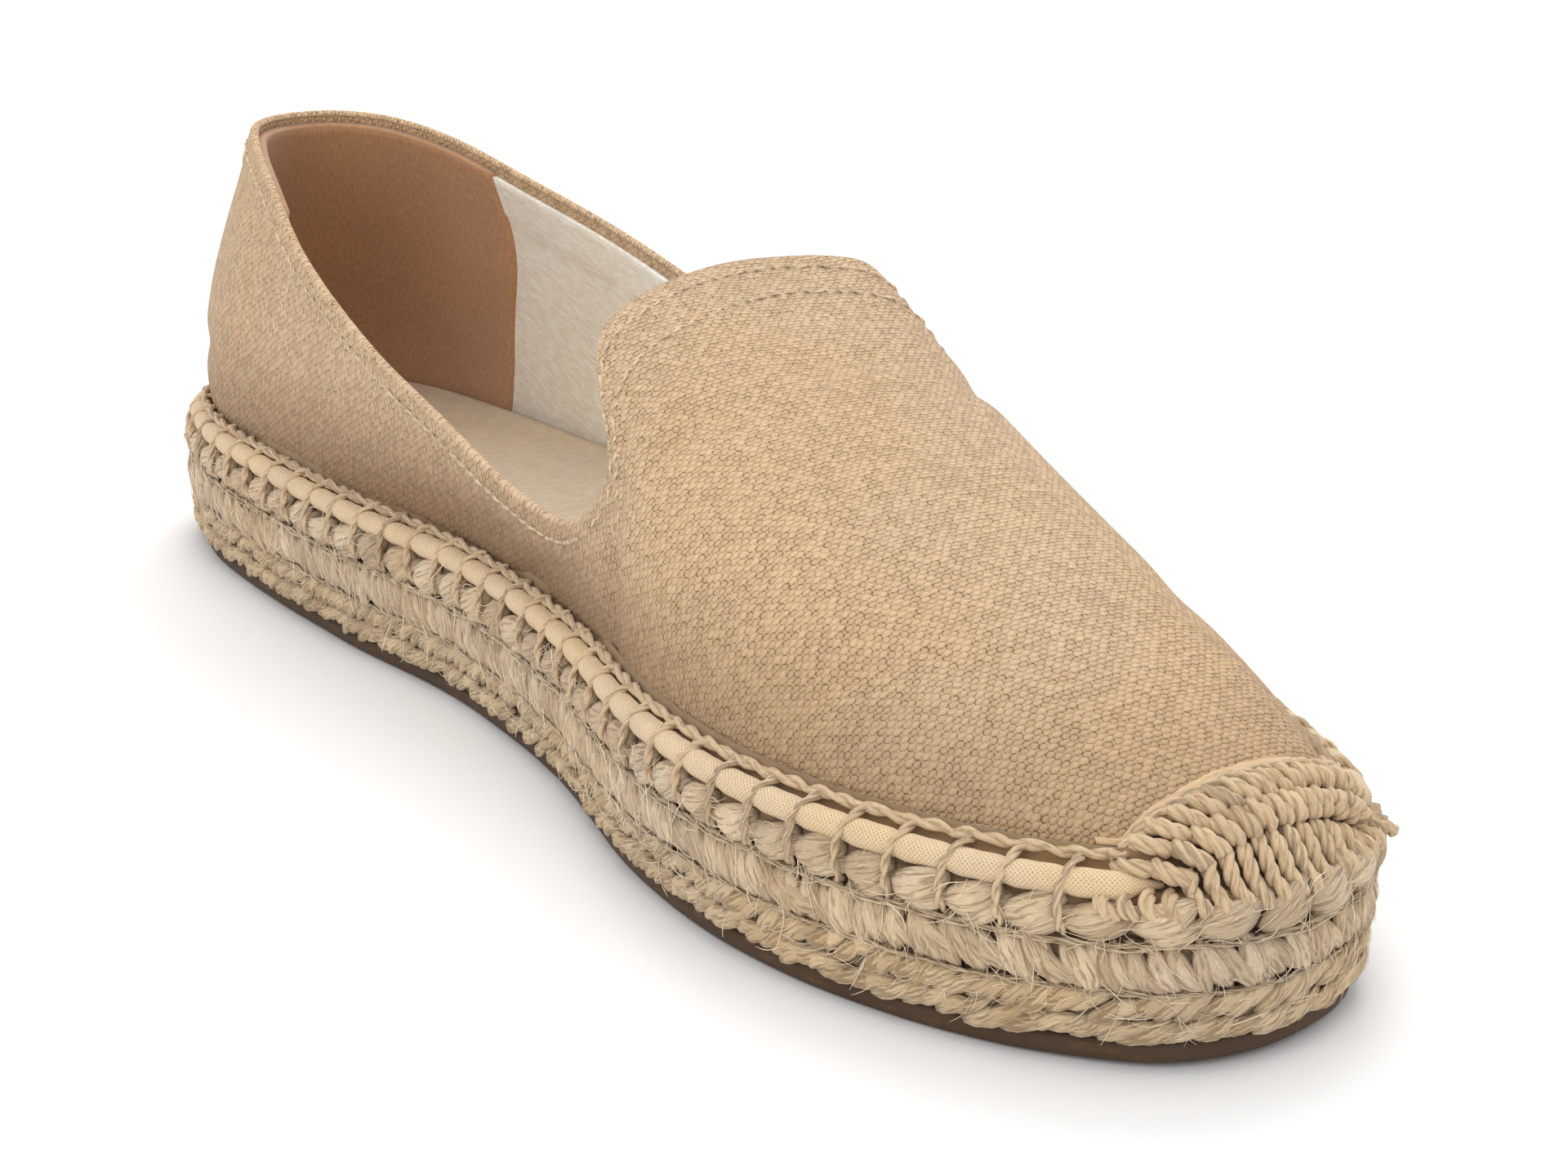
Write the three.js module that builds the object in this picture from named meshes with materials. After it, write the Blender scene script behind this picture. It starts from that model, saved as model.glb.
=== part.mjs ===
import * as THREE from 'three';

// Left espadrille, millimetres, +Z up. Toe towards -Y, inner (medial) side towards -X.
// Every form is drawn from one sole outline and one surface for the canvas upper.

const SOLE_LENGTH = 268;
const RUBBER = { bottom: 0, top: 3.2, inset: 1.3 };
const BRAID_LOWER = { bottom: 3.4, top: 10.0, bulge: 1.1, inset: 0.6 };
const BRAID_MIDDLE = { bottom: 10.2, top: 16.6, bulge: 1.2, inset: 0.3 };
const BRAID_UPPER = { bottom: 16.8, top: 22.2, bulge: 1.2, inset: 0.3 };
const TOE_SPRING = { height: 0.9, start: -94, length: 40 };
const FIT_GAP = 0.3;
const UPPER_INSET = 4.3;
const WALL = 2.0;
const INSOLE = { inset: 8.4, thickness: 2.0, edge: 0.8 };
const PIPING = { radius: 1.85, inset: 1.5 };
const TOE_THREAD = { foot: 4.1, top: 1.7 };
const AROUND = 112;
const BASE_Z = BRAID_UPPER.top + FIT_GAP;
const CENTRE_X = 1.82;  // the outline is drawn from the heel seam line; this puts the whole shoe on x = 0

// Half widths of the sole either side of the centre line; along is 0 at the heel and 1 at the toe.
const OUTLINE = [
  { along: 0.03, inner: 16.5, outer: 20 },
  { along: 0.09, inner: 25, outer: 28.5 },
  { along: 0.18, inner: 28.5, outer: 32 },
  { along: 0.3, inner: 29.5, outer: 33.5 },
  { along: 0.42, inner: 28, outer: 35 },
  { along: 0.55, inner: 33, outer: 38.5 },
  { along: 0.68, inner: 43, outer: 41.5 },
  { along: 0.78, inner: 45, outer: 38 },
  { along: 0.87, inner: 40, outer: 30.5 },
  { along: 0.94, inner: 31.5, outer: 22 },
  { along: 0.985, inner: 20.5, outer: 11 },
];
const TOE_TIP_X = -7;

// Where the toe thread stops on top of the toe, read across from the inner side to the outer.
const TOE_LINE = [
  { x: -24, y: -120.6 },
  { x: -15, y: -121.8 },
  { x: 9, y: -121.8 },
  { x: 17, y: -119.4 },
  { x: 23, y: -114 },
];

// Top edge of the upper. round runs 0 heel, 1 toe, 2 heel again, by way of the inner side.
// fx, fy, fz is how the cloth leaves the edge; rise and flare are how it leaves the sole.
const EDGE = [
  { round: 0, x: 0, y: 117.5, z: 75, fx: 0, fy: 9, fz: -22, rise: 17, flare: 4.8 },
  { round: 0.05, x: -9, y: 113.5, z: 75, fx: -3, fy: 7, fz: -21, rise: 17, flare: 4.8 },
  { round: 0.1, x: -15, y: 104, z: 74.2, fx: -4.5, fy: 4, fz: -20, rise: 16, flare: 4.4 },
  { round: 0.16, x: -21, y: 88.8, z: 71, fx: -4, fy: 1, fz: -18, rise: 15, flare: 2.8 },
  { round: 0.22, x: -24.5, y: 71.5, z: 61.2, fx: -3, fy: 0, fz: -14, rise: 12, flare: 1 },
  { round: 0.3, x: -27, y: 47.3, z: 52, fx: -1.5, fy: 0, fz: -11, rise: 9, flare: 0.4 },
  { round: 0.38, x: -28, y: 24.5, z: 45.7, fx: -1, fy: 0, fz: -8, rise: 7, flare: 0 },
  { round: 0.46, x: -29.5, y: 2.8, z: 40.6, fx: -1, fy: 0, fz: -6, rise: 6, flare: 0 },
  { round: 0.52, x: -31, y: -13, z: 39.8, fx: -2, fy: -1, fz: -6, rise: 6, flare: 0 },
  { round: 0.56, x: -31.8, y: -20.5, z: 42.8, fx: -3, fy: -4, fz: -7, rise: 6, flare: 0.2 },
  { round: 0.61, x: -31, y: -25.6, z: 50.2, fx: -5, fy: -9, fz: -9, rise: 7, flare: 0.4 },
  { round: 0.67, x: -28.6, y: -21.6, z: 57, fx: -8, fy: -15, fz: -12, rise: 8, flare: 0.6 },
  { round: 0.74, x: -25.4, y: -15, z: 62.5, fx: -9, fy: -24, fz: -14, rise: 9, flare: 0.8 },
  { round: 0.8, x: -22, y: -11.6, z: 66.5, fx: -7, fy: -34, fz: -15, rise: 11, flare: 0.9 },
  { round: 0.86, x: -16, y: -10.5, z: 69.6, fx: -5, fy: -44, fz: -17, rise: 12, flare: 1 },
  { round: 0.93, x: -7, y: -8.8, z: 71.4, fx: -3, fy: -50, fz: -19, rise: 13, flare: 1 },
  { round: 1, x: 3.5, y: -7.2, z: 72, fx: -2, fy: -52, fz: -20, rise: 13, flare: 1 },
  { round: 1.07, x: 13, y: -7.6, z: 71.7, fx: 0, fy: -50, fz: -20, rise: 12, flare: 0.8 },
  { round: 1.14, x: 20.5, y: -10, z: 71.3, fx: 2, fy: -43, fz: -21, rise: 10, flare: 0.6 },
  { round: 1.2, x: 25.6, y: -12.8, z: 70, fx: 3, fy: -33, fz: -21, rise: 8.5, flare: 0.4 },
  { round: 1.26, x: 28.2, y: -17, z: 65.6, fx: 4, fy: -23, fz: -19, rise: 7.5, flare: 0.3 },
  { round: 1.33, x: 30, y: -22.6, z: 58.6, fx: 4.5, fy: -14, fz: -15, rise: 7, flare: 0.3 },
  { round: 1.39, x: 31.6, y: -25.2, z: 51.6, fx: 4, fy: -8, fz: -11, rise: 7, flare: 0.3 },
  { round: 1.44, x: 32.4, y: -19.5, z: 46.2, fx: 3, fy: -4, fz: -8, rise: 7, flare: 0.2 },
  { round: 1.48, x: 32, y: -11, z: 44.6, fx: 2, fy: -1, fz: -7, rise: 7, flare: 0 },
  { round: 1.54, x: 31, y: 6, z: 47.6, fx: 1.5, fy: 0, fz: -8, rise: 8, flare: 0 },
  { round: 1.62, x: 29.4, y: 28, z: 55, fx: 1.5, fy: 0, fz: -11, rise: 9, flare: 0 },
  { round: 1.7, x: 27.6, y: 53, z: 61.8, fx: 2, fy: 0, fz: -14, rise: 11, flare: 0.4 },
  { round: 1.79, x: 25, y: 79, z: 67.2, fx: 3.5, fy: 0, fz: -16, rise: 13, flare: 1 },
  { round: 1.85, x: 21, y: 95, z: 71.6, fx: 4.5, fy: 1.5, fz: -18, rise: 15, flare: 2.8 },
  { round: 1.9, x: 15.5, y: 106, z: 74.2, fx: 4.5, fy: 4, fz: -20, rise: 16, flare: 4.4 },
  { round: 1.95, x: 9, y: 114, z: 75, fx: 3, fy: 7, fz: -21, rise: 17, flare: 4.8 },
];

const clamp = (t) => Math.min(1, Math.max(0, t));
const spring = (y) => TOE_SPRING.height * clamp((TOE_SPRING.start - y) / TOE_SPRING.length) ** 2;

// Smooth curve through the rows of a closed table, read at any place along its key column.
function readRing(rows, key, column, at, period) {
  const n = rows.length;
  const t = ((at % period) + period) % period;
  let i = n - 1;
  for (let k = 0; k < n; k++) if (rows[k][key] <= t) i = k;
  const place = (k) => rows[((k % n) + n) % n][key] + Math.floor(k / n) * period;
  const value = (k) => rows[((k % n) + n) % n][column];
  const slope = (k) => (value(k + 1) - value(k - 1)) / (place(k + 1) - place(k - 1));
  const width = place(i + 1) - place(i);
  const s = (t - place(i)) / width;
  return value(i) * (1 + 2 * s) * (1 - s) ** 2 + slope(i) * width * s * (1 - s) ** 2
    + value(i + 1) * s * s * (3 - 2 * s) + slope(i + 1) * width * s * s * (s - 1);
}

// The sole outline as one closed curve, cut at the rearmost and foremost points.
function soleSides() {
  const y = (along) => SOLE_LENGTH / 2 - along * SOLE_LENGTH;
  const points = [new THREE.Vector3(1, y(0), 0)];
  for (const row of OUTLINE) points.push(new THREE.Vector3(-row.inner, y(row.along), 0));
  points.push(new THREE.Vector3(TOE_TIP_X, y(1), 0));
  for (const row of [...OUTLINE].reverse()) points.push(new THREE.Vector3(row.outer, y(row.along), 0));
  const curve = new THREE.CatmullRomCurve3(points, true, 'centripetal');
  curve.arcLengthDivisions = 2000;
  const fine = curve.getSpacedPoints(2000).slice(0, -1);
  const toe = fine.reduce((best, p, i) => (p.y < fine[best].y ? i : best), 0);
  return { curve, toe: toe / fine.length };
}
const SOLE = soleSides();

// Point on the outline at round (0 heel, 1 toe, 2 heel), moved outwards by offset.
function outlineAt(round, offset) {
  const r = ((round % 2) + 2) % 2;
  const u = r <= 1 ? r * SOLE.toe : SOLE.toe + (r - 1) * (1 - SOLE.toe);
  const p = SOLE.curve.getPointAt(u);
  const t = SOLE.curve.getTangentAt(u);
  return new THREE.Vector2(p.x + t.y * offset, p.y - t.x * offset);
}

const rounds = (from, to, steps) =>
  Array.from({ length: steps + 1 }, (_, i) => from + (to - from) * (i / steps));
const ring = Array.from({ length: AROUND }, (_, i) => (2 * i) / AROUND);

// Outer face of the upper: height runs 0 at the sole to 1 at the top edge.
function upperAt(round, height) {
  const read = (column) => readRing(EDGE, 'round', column, round, 2);
  const foot = outlineAt(round, -UPPER_INSET);
  const out = outlineAt(round, 0).sub(foot).normalize();
  const base = new THREE.Vector3(foot.x, foot.y, BASE_Z + spring(foot.y));
  const flare = read('flare');
  const start = new THREE.Vector3(base.x + out.x * flare, base.y + out.y * flare, base.z + read('rise'));
  const edge = new THREE.Vector3(read('x'), read('y'), read('z'));
  const leave = new THREE.Vector3(edge.x + read('fx'), edge.y + read('fy'), edge.z + read('fz'));
  return new THREE.CubicBezierCurve3(base, start, leave, edge).getPoint(height);
}

// The same face moved out (or in, when negative) along its own normal.
function upperOffset(round, height, offset) {
  const step = 0.004;
  const across = upperAt(round + step, height).sub(upperAt(round - step, height));
  const low = Math.max(0, height - step);
  const up = upperAt(round, Math.min(1, height + step)).sub(upperAt(round, low));
  const normal = across.cross(up).normalize();
  return upperAt(round, height).addScaledVector(normal, offset);
}

const MATERIALS = {
  canvas: new THREE.MeshStandardMaterial({ color: 0xb99b74, roughness: 0.95, name: 'canvas' }),
  jute: new THREE.MeshStandardMaterial({ color: 0xa8987c, roughness: 0.95, name: 'jute' }),
  rubber: new THREE.MeshStandardMaterial({ color: 0x3f352b, roughness: 0.7, name: 'rubber' }),
  lining: new THREE.MeshStandardMaterial({ color: 0xd8cbb2, roughness: 0.9, name: 'lining' }),
  thread: new THREE.MeshStandardMaterial({ color: 0xc4ab82, roughness: 0.9, name: 'thread' }),
};

function makeMesh(name, points, faces, material) {
  const geometry = new THREE.BufferGeometry();
  const places = points.flatMap((p) => [p.x + CENTRE_X, p.y, p.z]);
  geometry.setAttribute('position', new THREE.Float32BufferAttribute(places, 3));
  geometry.setIndex(faces.flat());
  geometry.computeVertexNormals();
  const mesh = new THREE.Mesh(geometry, material);
  mesh.name = name;
  return mesh;
}

// Side wall between rows of points; every row has the same count and closes on itself.
function bandFaces(rows, count, closedRows) {
  const faces = [];
  const last = closedRows ? rows : rows - 1;
  for (let r = 0; r < last; r++) {
    for (let i = 0; i < count; i++) {
      const j = (i + 1) % count;
      const a = r * count;
      const b = ((r + 1) % rows) * count;
      faces.push([a + i, a + j, b + j], [a + i, b + j, b + i]);
    }
  }
  return faces;
}

// Flat or sprung lid joining the inner side to the outer side straight across.
function lidFaces(start, count, upwards) {
  const faces = [];
  for (let i = 0; i < count / 2; i++) {
    const a = start + i;
    const b = start + i + 1;
    const c = start + ((count - i) % count);
    const d = start + count - i - 1;
    if (i > 0) faces.push(upwards ? [a, b, c] : [a, c, b]);
    if (b !== d) faces.push(upwards ? [b, d, c] : [b, c, d]);
  }
  return faces;
}

// A slab of the sole: levels are {z, offset} pairs from bottom to top.
function slab(name, levels, material) {
  const points = [];
  for (const level of levels) {
    for (const round of ring) {
      const p = outlineAt(round, level.offset);
      points.push(new THREE.Vector3(p.x, p.y, level.z + spring(p.y)));
    }
  }
  const faces = bandFaces(levels.length, AROUND, false);
  faces.push(...lidFaces(0, AROUND, false), ...lidFaces((levels.length - 1) * AROUND, AROUND, true));
  return makeMesh(name, points, faces, material);
}

function braidLevels(layer) {
  const height = layer.top - layer.bottom;
  return [0, 0.22, 0.5, 0.78, 1].map((t) => ({
    z: layer.bottom + height * t,
    offset: layer.bulge * Math.sin(Math.PI * t) - layer.inset,
  }));
}

function makeOutsole() {
  const { bottom, top, inset } = RUBBER;
  const levels = [
    { z: bottom, offset: -inset - 0.6 },
    { z: bottom + 0.6, offset: -inset },
    { z: top, offset: -inset + 0.2 },
  ];
  return slab('outsole', levels, MATERIALS.rubber);
}

function makeInsole() {
  const { inset, thickness, edge } = INSOLE;
  const levels = [
    { z: BASE_Z, offset: -inset },
    { z: BASE_Z + thickness - edge, offset: -inset },
    { z: BASE_Z + thickness, offset: -inset - edge },
  ];
  return slab('insole', levels, MATERIALS.lining);
}

function makeUpper() {
  const heights = [0, 0.08, 0.17, 0.27, 0.38, 0.49, 0.6, 0.7, 0.8, 0.9, 1];
  const points = [];
  const add = (height, offset) => {
    for (const round of ring) {
      const p = offset ? upperOffset(round, height, offset) : upperAt(round, height);
      if (height === 0) p.z = upperAt(round, 0).z;
      points.push(p);
    }
  };
  for (const height of heights) add(height, 0);
  for (const height of [...heights].reverse()) add(height, -WALL);
  return makeMesh('upper', points, bandFaces(heights.length * 2, AROUND, true), MATERIALS.canvas);
}

function toeLineAt(x) {
  for (let i = 1; i < TOE_LINE.length; i++) {
    const [a, b] = [TOE_LINE[i - 1], TOE_LINE[i]];
    if (x <= b.x) return a.y + (b.y - a.y) * clamp((x - a.x) / (b.x - a.x));
  }
  return TOE_LINE.at(-1).y;
}

// How far up the toe the thread reaches: the cross line over the toe, cut on the upper's own face.
function threadHeight(round) {
  let low = 0;
  let high = 0.6;
  const ahead = (height) => {
    const p = upperAt(round, height);
    return p.y < toeLineAt(p.x);
  };
  if (!ahead(0)) return 0;
  for (let i = 0; i < 40; i++) {
    const middle = (low + high) / 2;
    if (ahead(middle)) low = middle; else high = middle;
  }
  return low;
}

// Where the thread starts and stops on the sole line.
function threadEnd(from, to) {
  let inside = from;
  let outside = to;
  for (let i = 0; i < 40; i++) {
    const middle = (inside + outside) / 2;
    if (threadHeight(middle) > 0.09) inside = middle; else outside = middle;
  }
  return inside;
}
const THREAD_FROM = threadEnd(1, 0.7);
const THREAD_TO = threadEnd(1, 1.3);

function makeToeStitching() {
  const across = rounds(THREAD_FROM, THREAD_TO, 26);
  const steps = [0, 0.34, 0.67, 1];
  const points = [];
  for (const round of across) {
    const top = threadHeight(round);
    const loop = [];
    for (const s of steps) {
      const p = upperOffset(round, top * s, FIT_GAP);
      if (s === 0) p.z = upperAt(round, 0).z;
      loop.push(p);
    }
    for (const s of [...steps].reverse()) {
      const p = upperOffset(round, top * s, TOE_THREAD.foot + (TOE_THREAD.top - TOE_THREAD.foot) * s ** 0.7);
      if (s === 0) p.z = BASE_Z + spring(p.y) + 0.05;
      loop.push(p);
    }
    points.push(...loop);
  }
  return tubeSolid('toe_stitching', points, steps.length * 2, MATERIALS.thread);
}

// Closed rod from a run of equal loops, with flat ends.
function tubeSolid(name, points, side, material) {
  const rows = points.length / side;
  const faces = bandFaces(rows, side, false);
  const cap = (start, flip) => {
    for (let i = 0; i < side / 2 - 1; i++) {
      const a = start + i;
      const b = start + i + 1;
      const c = start + side - 1 - i;
      const d = start + side - 2 - i;
      faces.push(flip ? [a, c, b] : [a, b, c], flip ? [b, c, d] : [b, d, c]);
    }
  };
  cap(0, true);
  cap((rows - 1) * side, false);
  return makeMesh(name, points, faces, material);
}

function makePiping() {
  const side = 8;
  const gap = 0.004;
  const run = rounds(THREAD_TO + gap, 2 + THREAD_FROM - gap, 100);
  const points = [];
  for (const round of run) {
    const centre = outlineAt(round, -PIPING.inset);
    const out = outlineAt(round, 1).sub(centre).normalize();
    for (let k = 0; k < side; k++) {
      const a = (-2 * Math.PI * k) / side;
      const reach = PIPING.radius * Math.cos(a);
      const z = BASE_Z + PIPING.radius + PIPING.radius * Math.sin(a) + spring(centre.y);
      points.push(new THREE.Vector3(centre.x + out.x * reach, centre.y + out.y * reach, z));
    }
  }
  return tubeSolid('edge_piping', points, side, MATERIALS.canvas);
}

const espadrille = new THREE.Group();
espadrille.name = 'espadrille';
espadrille.add(
  makeOutsole(),
  slab('jute_braid_lower', braidLevels(BRAID_LOWER), MATERIALS.jute),
  slab('jute_braid_middle', braidLevels(BRAID_MIDDLE), MATERIALS.jute),
  slab('jute_braid_upper', braidLevels(BRAID_UPPER), MATERIALS.jute),
  makeInsole(),
  makeUpper(),
  makePiping(),
  makeToeStitching(),
);

export default espadrille;
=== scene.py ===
"""Left canvas espadrille: canvas upper, cotton lining, taped edge, thick toe thread and coiled jute sole."""

import math
from types import SimpleNamespace

import bpy
import numpy as np
from mathutils import Matrix, Vector


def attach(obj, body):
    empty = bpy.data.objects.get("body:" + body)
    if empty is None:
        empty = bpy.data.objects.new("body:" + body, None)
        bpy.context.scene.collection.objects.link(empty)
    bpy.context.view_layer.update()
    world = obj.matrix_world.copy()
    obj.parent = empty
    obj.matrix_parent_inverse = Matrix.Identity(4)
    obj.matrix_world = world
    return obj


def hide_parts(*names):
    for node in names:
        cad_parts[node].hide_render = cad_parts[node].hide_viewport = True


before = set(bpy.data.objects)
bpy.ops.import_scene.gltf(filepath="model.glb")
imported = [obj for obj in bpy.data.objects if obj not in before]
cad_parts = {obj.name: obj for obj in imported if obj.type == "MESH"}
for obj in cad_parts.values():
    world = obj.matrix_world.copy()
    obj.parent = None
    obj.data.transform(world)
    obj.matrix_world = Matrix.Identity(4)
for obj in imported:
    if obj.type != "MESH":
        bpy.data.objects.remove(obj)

bl_info = {
    "name": "Canvas Espadrille",
    "version": (1, 0, 0),
    "blender": (4, 5, 0),
    "location": "View3D > Sidebar > Espadrille",
    "description": "Builds the cloth, thread and jute of a canvas espadrille around its packed frame",
    "category": "Object",
}

# ---------------------------------------------------------------------------------------------
# Form of the shoe, in millimetres: toe towards -Y, inner side towards -X, up is +Z.

MM = 0.001
CENTRE_X = 1.82
SOLE_LENGTH = 268.0
BASE_Z = 22.5
UPPER_INSET = 4.3
TOE_TIP_X = -7.0
SPRING_HEIGHT = 0.9
SPRING_START = -94.0
SPRING_LENGTH = 40.0
WEAVE_PITCH = 0.72
STITCH_HALF = 3.7
TAPE_PAST_TOE = 0.022
RIM_PAST_TOE = 0.004

# Jute courses: lowest point, highest point, how far the edge bulges, how far it sits in.
COURSES = {
    "lower": {"bottom": 3.3, "top": 10.1, "bulge": 1.1, "inset": 0.6},
    "middle": {"bottom": 10.2, "top": 16.6, "bulge": 1.2, "inset": 0.3},
    "upper": {"bottom": 16.8, "top": 22.3, "bulge": 1.2, "inset": 0.3},
}

# along the sole (0 heel, 1 toe), half width to the inner side, half width to the outer side
OUTLINE = (
    (0.03, 16.5, 20.0),
    (0.09, 25.0, 28.5),
    (0.18, 28.5, 32.0),
    (0.30, 29.5, 33.5),
    (0.42, 28.0, 35.0),
    (0.55, 33.0, 38.5),
    (0.68, 43.0, 41.5),
    (0.78, 45.0, 38.0),
    (0.87, 40.0, 30.5),
    (0.94, 31.5, 22.0),
    (0.985, 20.5, 11.0),
)

# x, y of the line over the toe where the thick thread stops
TOE_LINE = ((-24.0, -120.6), (-15.0, -121.8), (9.0, -121.8), (17.0, -119.4), (23.0, -114.0))

# Top edge of the upper. round: 0 heel, 1 toe, 2 heel again, by way of the inner side.
# round, x, y, z, then how the cloth leaves the edge (fx, fy, fz) and the sole (rise, flare)
EDGE = (
    (0.00, 0.0, 117.5, 75.0, 0.0, 9.0, -22.0, 17.0, 4.8),
    (0.05, -9.0, 113.5, 75.0, -3.0, 7.0, -21.0, 17.0, 4.8),
    (0.10, -15.0, 104.0, 74.2, -4.5, 4.0, -20.0, 16.0, 4.4),
    (0.16, -21.0, 88.8, 71.0, -4.0, 1.0, -18.0, 15.0, 2.8),
    (0.22, -24.5, 71.5, 61.2, -3.0, 0.0, -14.0, 12.0, 1.0),
    (0.30, -27.0, 47.3, 52.0, -1.5, 0.0, -11.0, 9.0, 0.4),
    (0.38, -28.0, 24.5, 45.7, -1.0, 0.0, -8.0, 7.0, 0.0),
    (0.46, -29.5, 2.8, 40.6, -1.0, 0.0, -6.0, 6.0, 0.0),
    (0.52, -31.0, -13.0, 39.8, -2.0, -1.0, -6.0, 6.0, 0.0),
    (0.56, -31.8, -20.5, 42.8, -3.0, -4.0, -7.0, 6.0, 0.2),
    (0.61, -31.0, -25.6, 50.2, -5.0, -9.0, -9.0, 7.0, 0.4),
    (0.67, -28.6, -21.6, 57.0, -8.0, -15.0, -12.0, 8.0, 0.6),
    (0.74, -25.4, -15.0, 62.5, -9.0, -24.0, -14.0, 9.0, 0.8),
    (0.80, -22.0, -11.6, 66.5, -7.0, -34.0, -15.0, 11.0, 0.9),
    (0.86, -16.0, -10.5, 69.6, -5.0, -44.0, -17.0, 12.0, 1.0),
    (0.93, -7.0, -8.8, 71.4, -3.0, -50.0, -19.0, 13.0, 1.0),
    (1.00, 3.5, -7.2, 72.0, -2.0, -52.0, -20.0, 13.0, 1.0),
    (1.07, 13.0, -7.6, 71.7, 0.0, -50.0, -20.0, 12.0, 0.8),
    (1.14, 20.5, -10.0, 71.3, 2.0, -43.0, -21.0, 10.0, 0.6),
    (1.20, 25.6, -12.8, 70.0, 3.0, -33.0, -21.0, 8.5, 0.4),
    (1.26, 28.2, -17.0, 65.6, 4.0, -23.0, -19.0, 7.5, 0.3),
    (1.33, 30.0, -22.6, 58.6, 4.5, -14.0, -15.0, 7.0, 0.3),
    (1.39, 31.6, -25.2, 51.6, 4.0, -8.0, -11.0, 7.0, 0.3),
    (1.44, 32.4, -19.5, 46.2, 3.0, -4.0, -8.0, 7.0, 0.2),
    (1.48, 32.0, -11.0, 44.6, 2.0, -1.0, -7.0, 7.0, 0.0),
    (1.54, 31.0, 6.0, 47.6, 1.5, 0.0, -8.0, 8.0, 0.0),
    (1.62, 29.4, 28.0, 55.0, 1.5, 0.0, -11.0, 9.0, 0.0),
    (1.70, 27.6, 53.0, 61.8, 2.0, 0.0, -14.0, 11.0, 0.4),
    (1.79, 25.0, 79.0, 67.2, 3.5, 0.0, -16.0, 13.0, 1.0),
    (1.85, 21.0, 95.0, 71.6, 4.5, 1.5, -18.0, 15.0, 2.8),
    (1.90, 15.5, 106.0, 74.2, 4.5, 4.0, -20.0, 16.0, 4.4),
    (1.95, 9.0, 114.0, 75.0, 3.0, 7.0, -21.0, 17.0, 4.8),
)

# Soft folds in the canvas: round and height of the middle, reach along and across in millimetres,
# turn of the fold in degrees from level, and depth (negative is a trough)
CREASES = (
    (0.60, 0.62, 16.0, 3.4, 58.0, -0.935),
    (0.66, 0.72, 15.0, 3.0, 40.0, 0.595),
    (0.72, 0.86, 12.0, 3.0, 12.0, -0.51),
    (0.86, 0.80, 18.0, 4.0, 4.0, -0.595),
    (1.02, 0.84, 20.0, 4.0, -3.0, -0.595),
    (1.18, 0.78, 14.0, 3.4, -16.0, -0.68),
    (1.33, 0.66, 16.0, 3.4, -52.0, -0.85),
    (0.50, 0.45, 13.0, 3.6, 24.0, -0.765),
    (0.42, 0.52, 15.0, 3.8, 8.0, -0.51),
    (0.16, 0.40, 17.0, 4.5, 20.0, -0.85),
    (0.07, 0.28, 13.0, 3.6, 6.0, -0.765),
    (1.84, 0.38, 16.0, 4.5, -18.0, -0.85),
    (1.55, 0.48, 15.0, 4.0, -10.0, -0.595),
    (0.84, 0.40, 20.0, 5.0, 20.0, -0.425),
    (1.14, 0.42, 18.0, 5.0, -18.0, -0.425),
)


def clamp(t):
    return np.clip(t, 0.0, 1.0)


def smooth(t):
    t = clamp(t)
    return t * t * (3.0 - 2.0 * t)


def run_along(points):
    """Distance run along a line of points, 0 at the first."""
    steps = np.linalg.norm(np.diff(points, axis=0), axis=1)
    return np.concatenate([[0.0], np.cumsum(steps)])


def spring(y):
    """How far the sole lifts off the ground towards the toe."""
    return SPRING_HEIGHT * clamp((SPRING_START - y) / SPRING_LENGTH) ** 2


def smooth_loop(points, per_span):
    """Closed centripetal curve through the points."""
    count = len(points)
    share = np.linspace(0.0, 1.0, per_span, endpoint=False)[:, None]
    spans = []
    for i in range(count):
        p0, p1, p2, p3 = (points[(i + k) % count] for k in (-1, 0, 1, 2))
        d0, d1, d2 = (math.sqrt(math.dist(a, b)) for a, b in ((p0, p1), (p1, p2), (p2, p3)))
        t1 = ((p1 - p0) / d0 - (p2 - p0) / (d0 + d1) + (p2 - p1) / d1) * d1
        t2 = ((p2 - p1) / d1 - (p3 - p1) / (d1 + d2) + (p3 - p2) / d2) * d1
        square = 3.0 * (p2 - p1) - 2.0 * t1 - t2
        cube = 2.0 * (p1 - p2) + t1 + t2
        spans.append(p1 + t1 * share + square * share**2 + cube * share**3)
    return np.concatenate(spans)


class SoleLine:
    """The sole outline as a closed curve, read by round: 0 heel, 1 toe, 2 heel again."""

    def __init__(self):
        def place(along):
            return SOLE_LENGTH * (0.5 - along)

        inner = [(-row[1], place(row[0])) for row in OUTLINE]
        outer = [(row[2], place(row[0])) for row in reversed(OUTLINE)]
        knots = np.array([(1.0, place(0.0)), *inner, (TOE_TIP_X, place(1.0)), *outer])
        loop = smooth_loop(knots, 160)
        self.points = np.vstack([loop, loop[:1]])
        self.length = run_along(self.points)
        self.total = self.length[-1]
        self.toe = self.length[np.argmin(self.points[:, 1])]

    def read(self, distance):
        distance = np.mod(distance, self.total)
        return np.stack([np.interp(distance, self.length, self.points[:, k]) for k in (0, 1)], axis=-1)

    def distance(self, around):
        r = np.mod(around, 2.0)
        back = self.toe + (r - 1.0) * (self.total - self.toe)
        return np.where(r <= 1.0, r * self.toe, back)

    def around(self, distance):
        d = np.mod(distance, self.total)
        return np.where(d <= self.toe, d / self.toe, 1.0 + (d - self.toe) / (self.total - self.toe))

    def at(self, around, offset=0.0):
        """Point and outward direction at round, moved out by offset."""
        d = self.distance(np.asarray(around, float))
        step = 0.6
        run = self.read(d + step) - self.read(d - step)
        run = run / np.linalg.norm(run, axis=-1, keepdims=True)
        out = np.stack([run[..., 1], -run[..., 0]], axis=-1)
        return self.read(d) + out * np.asarray(offset, float)[..., None], out


SOLE = SoleLine()


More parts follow.
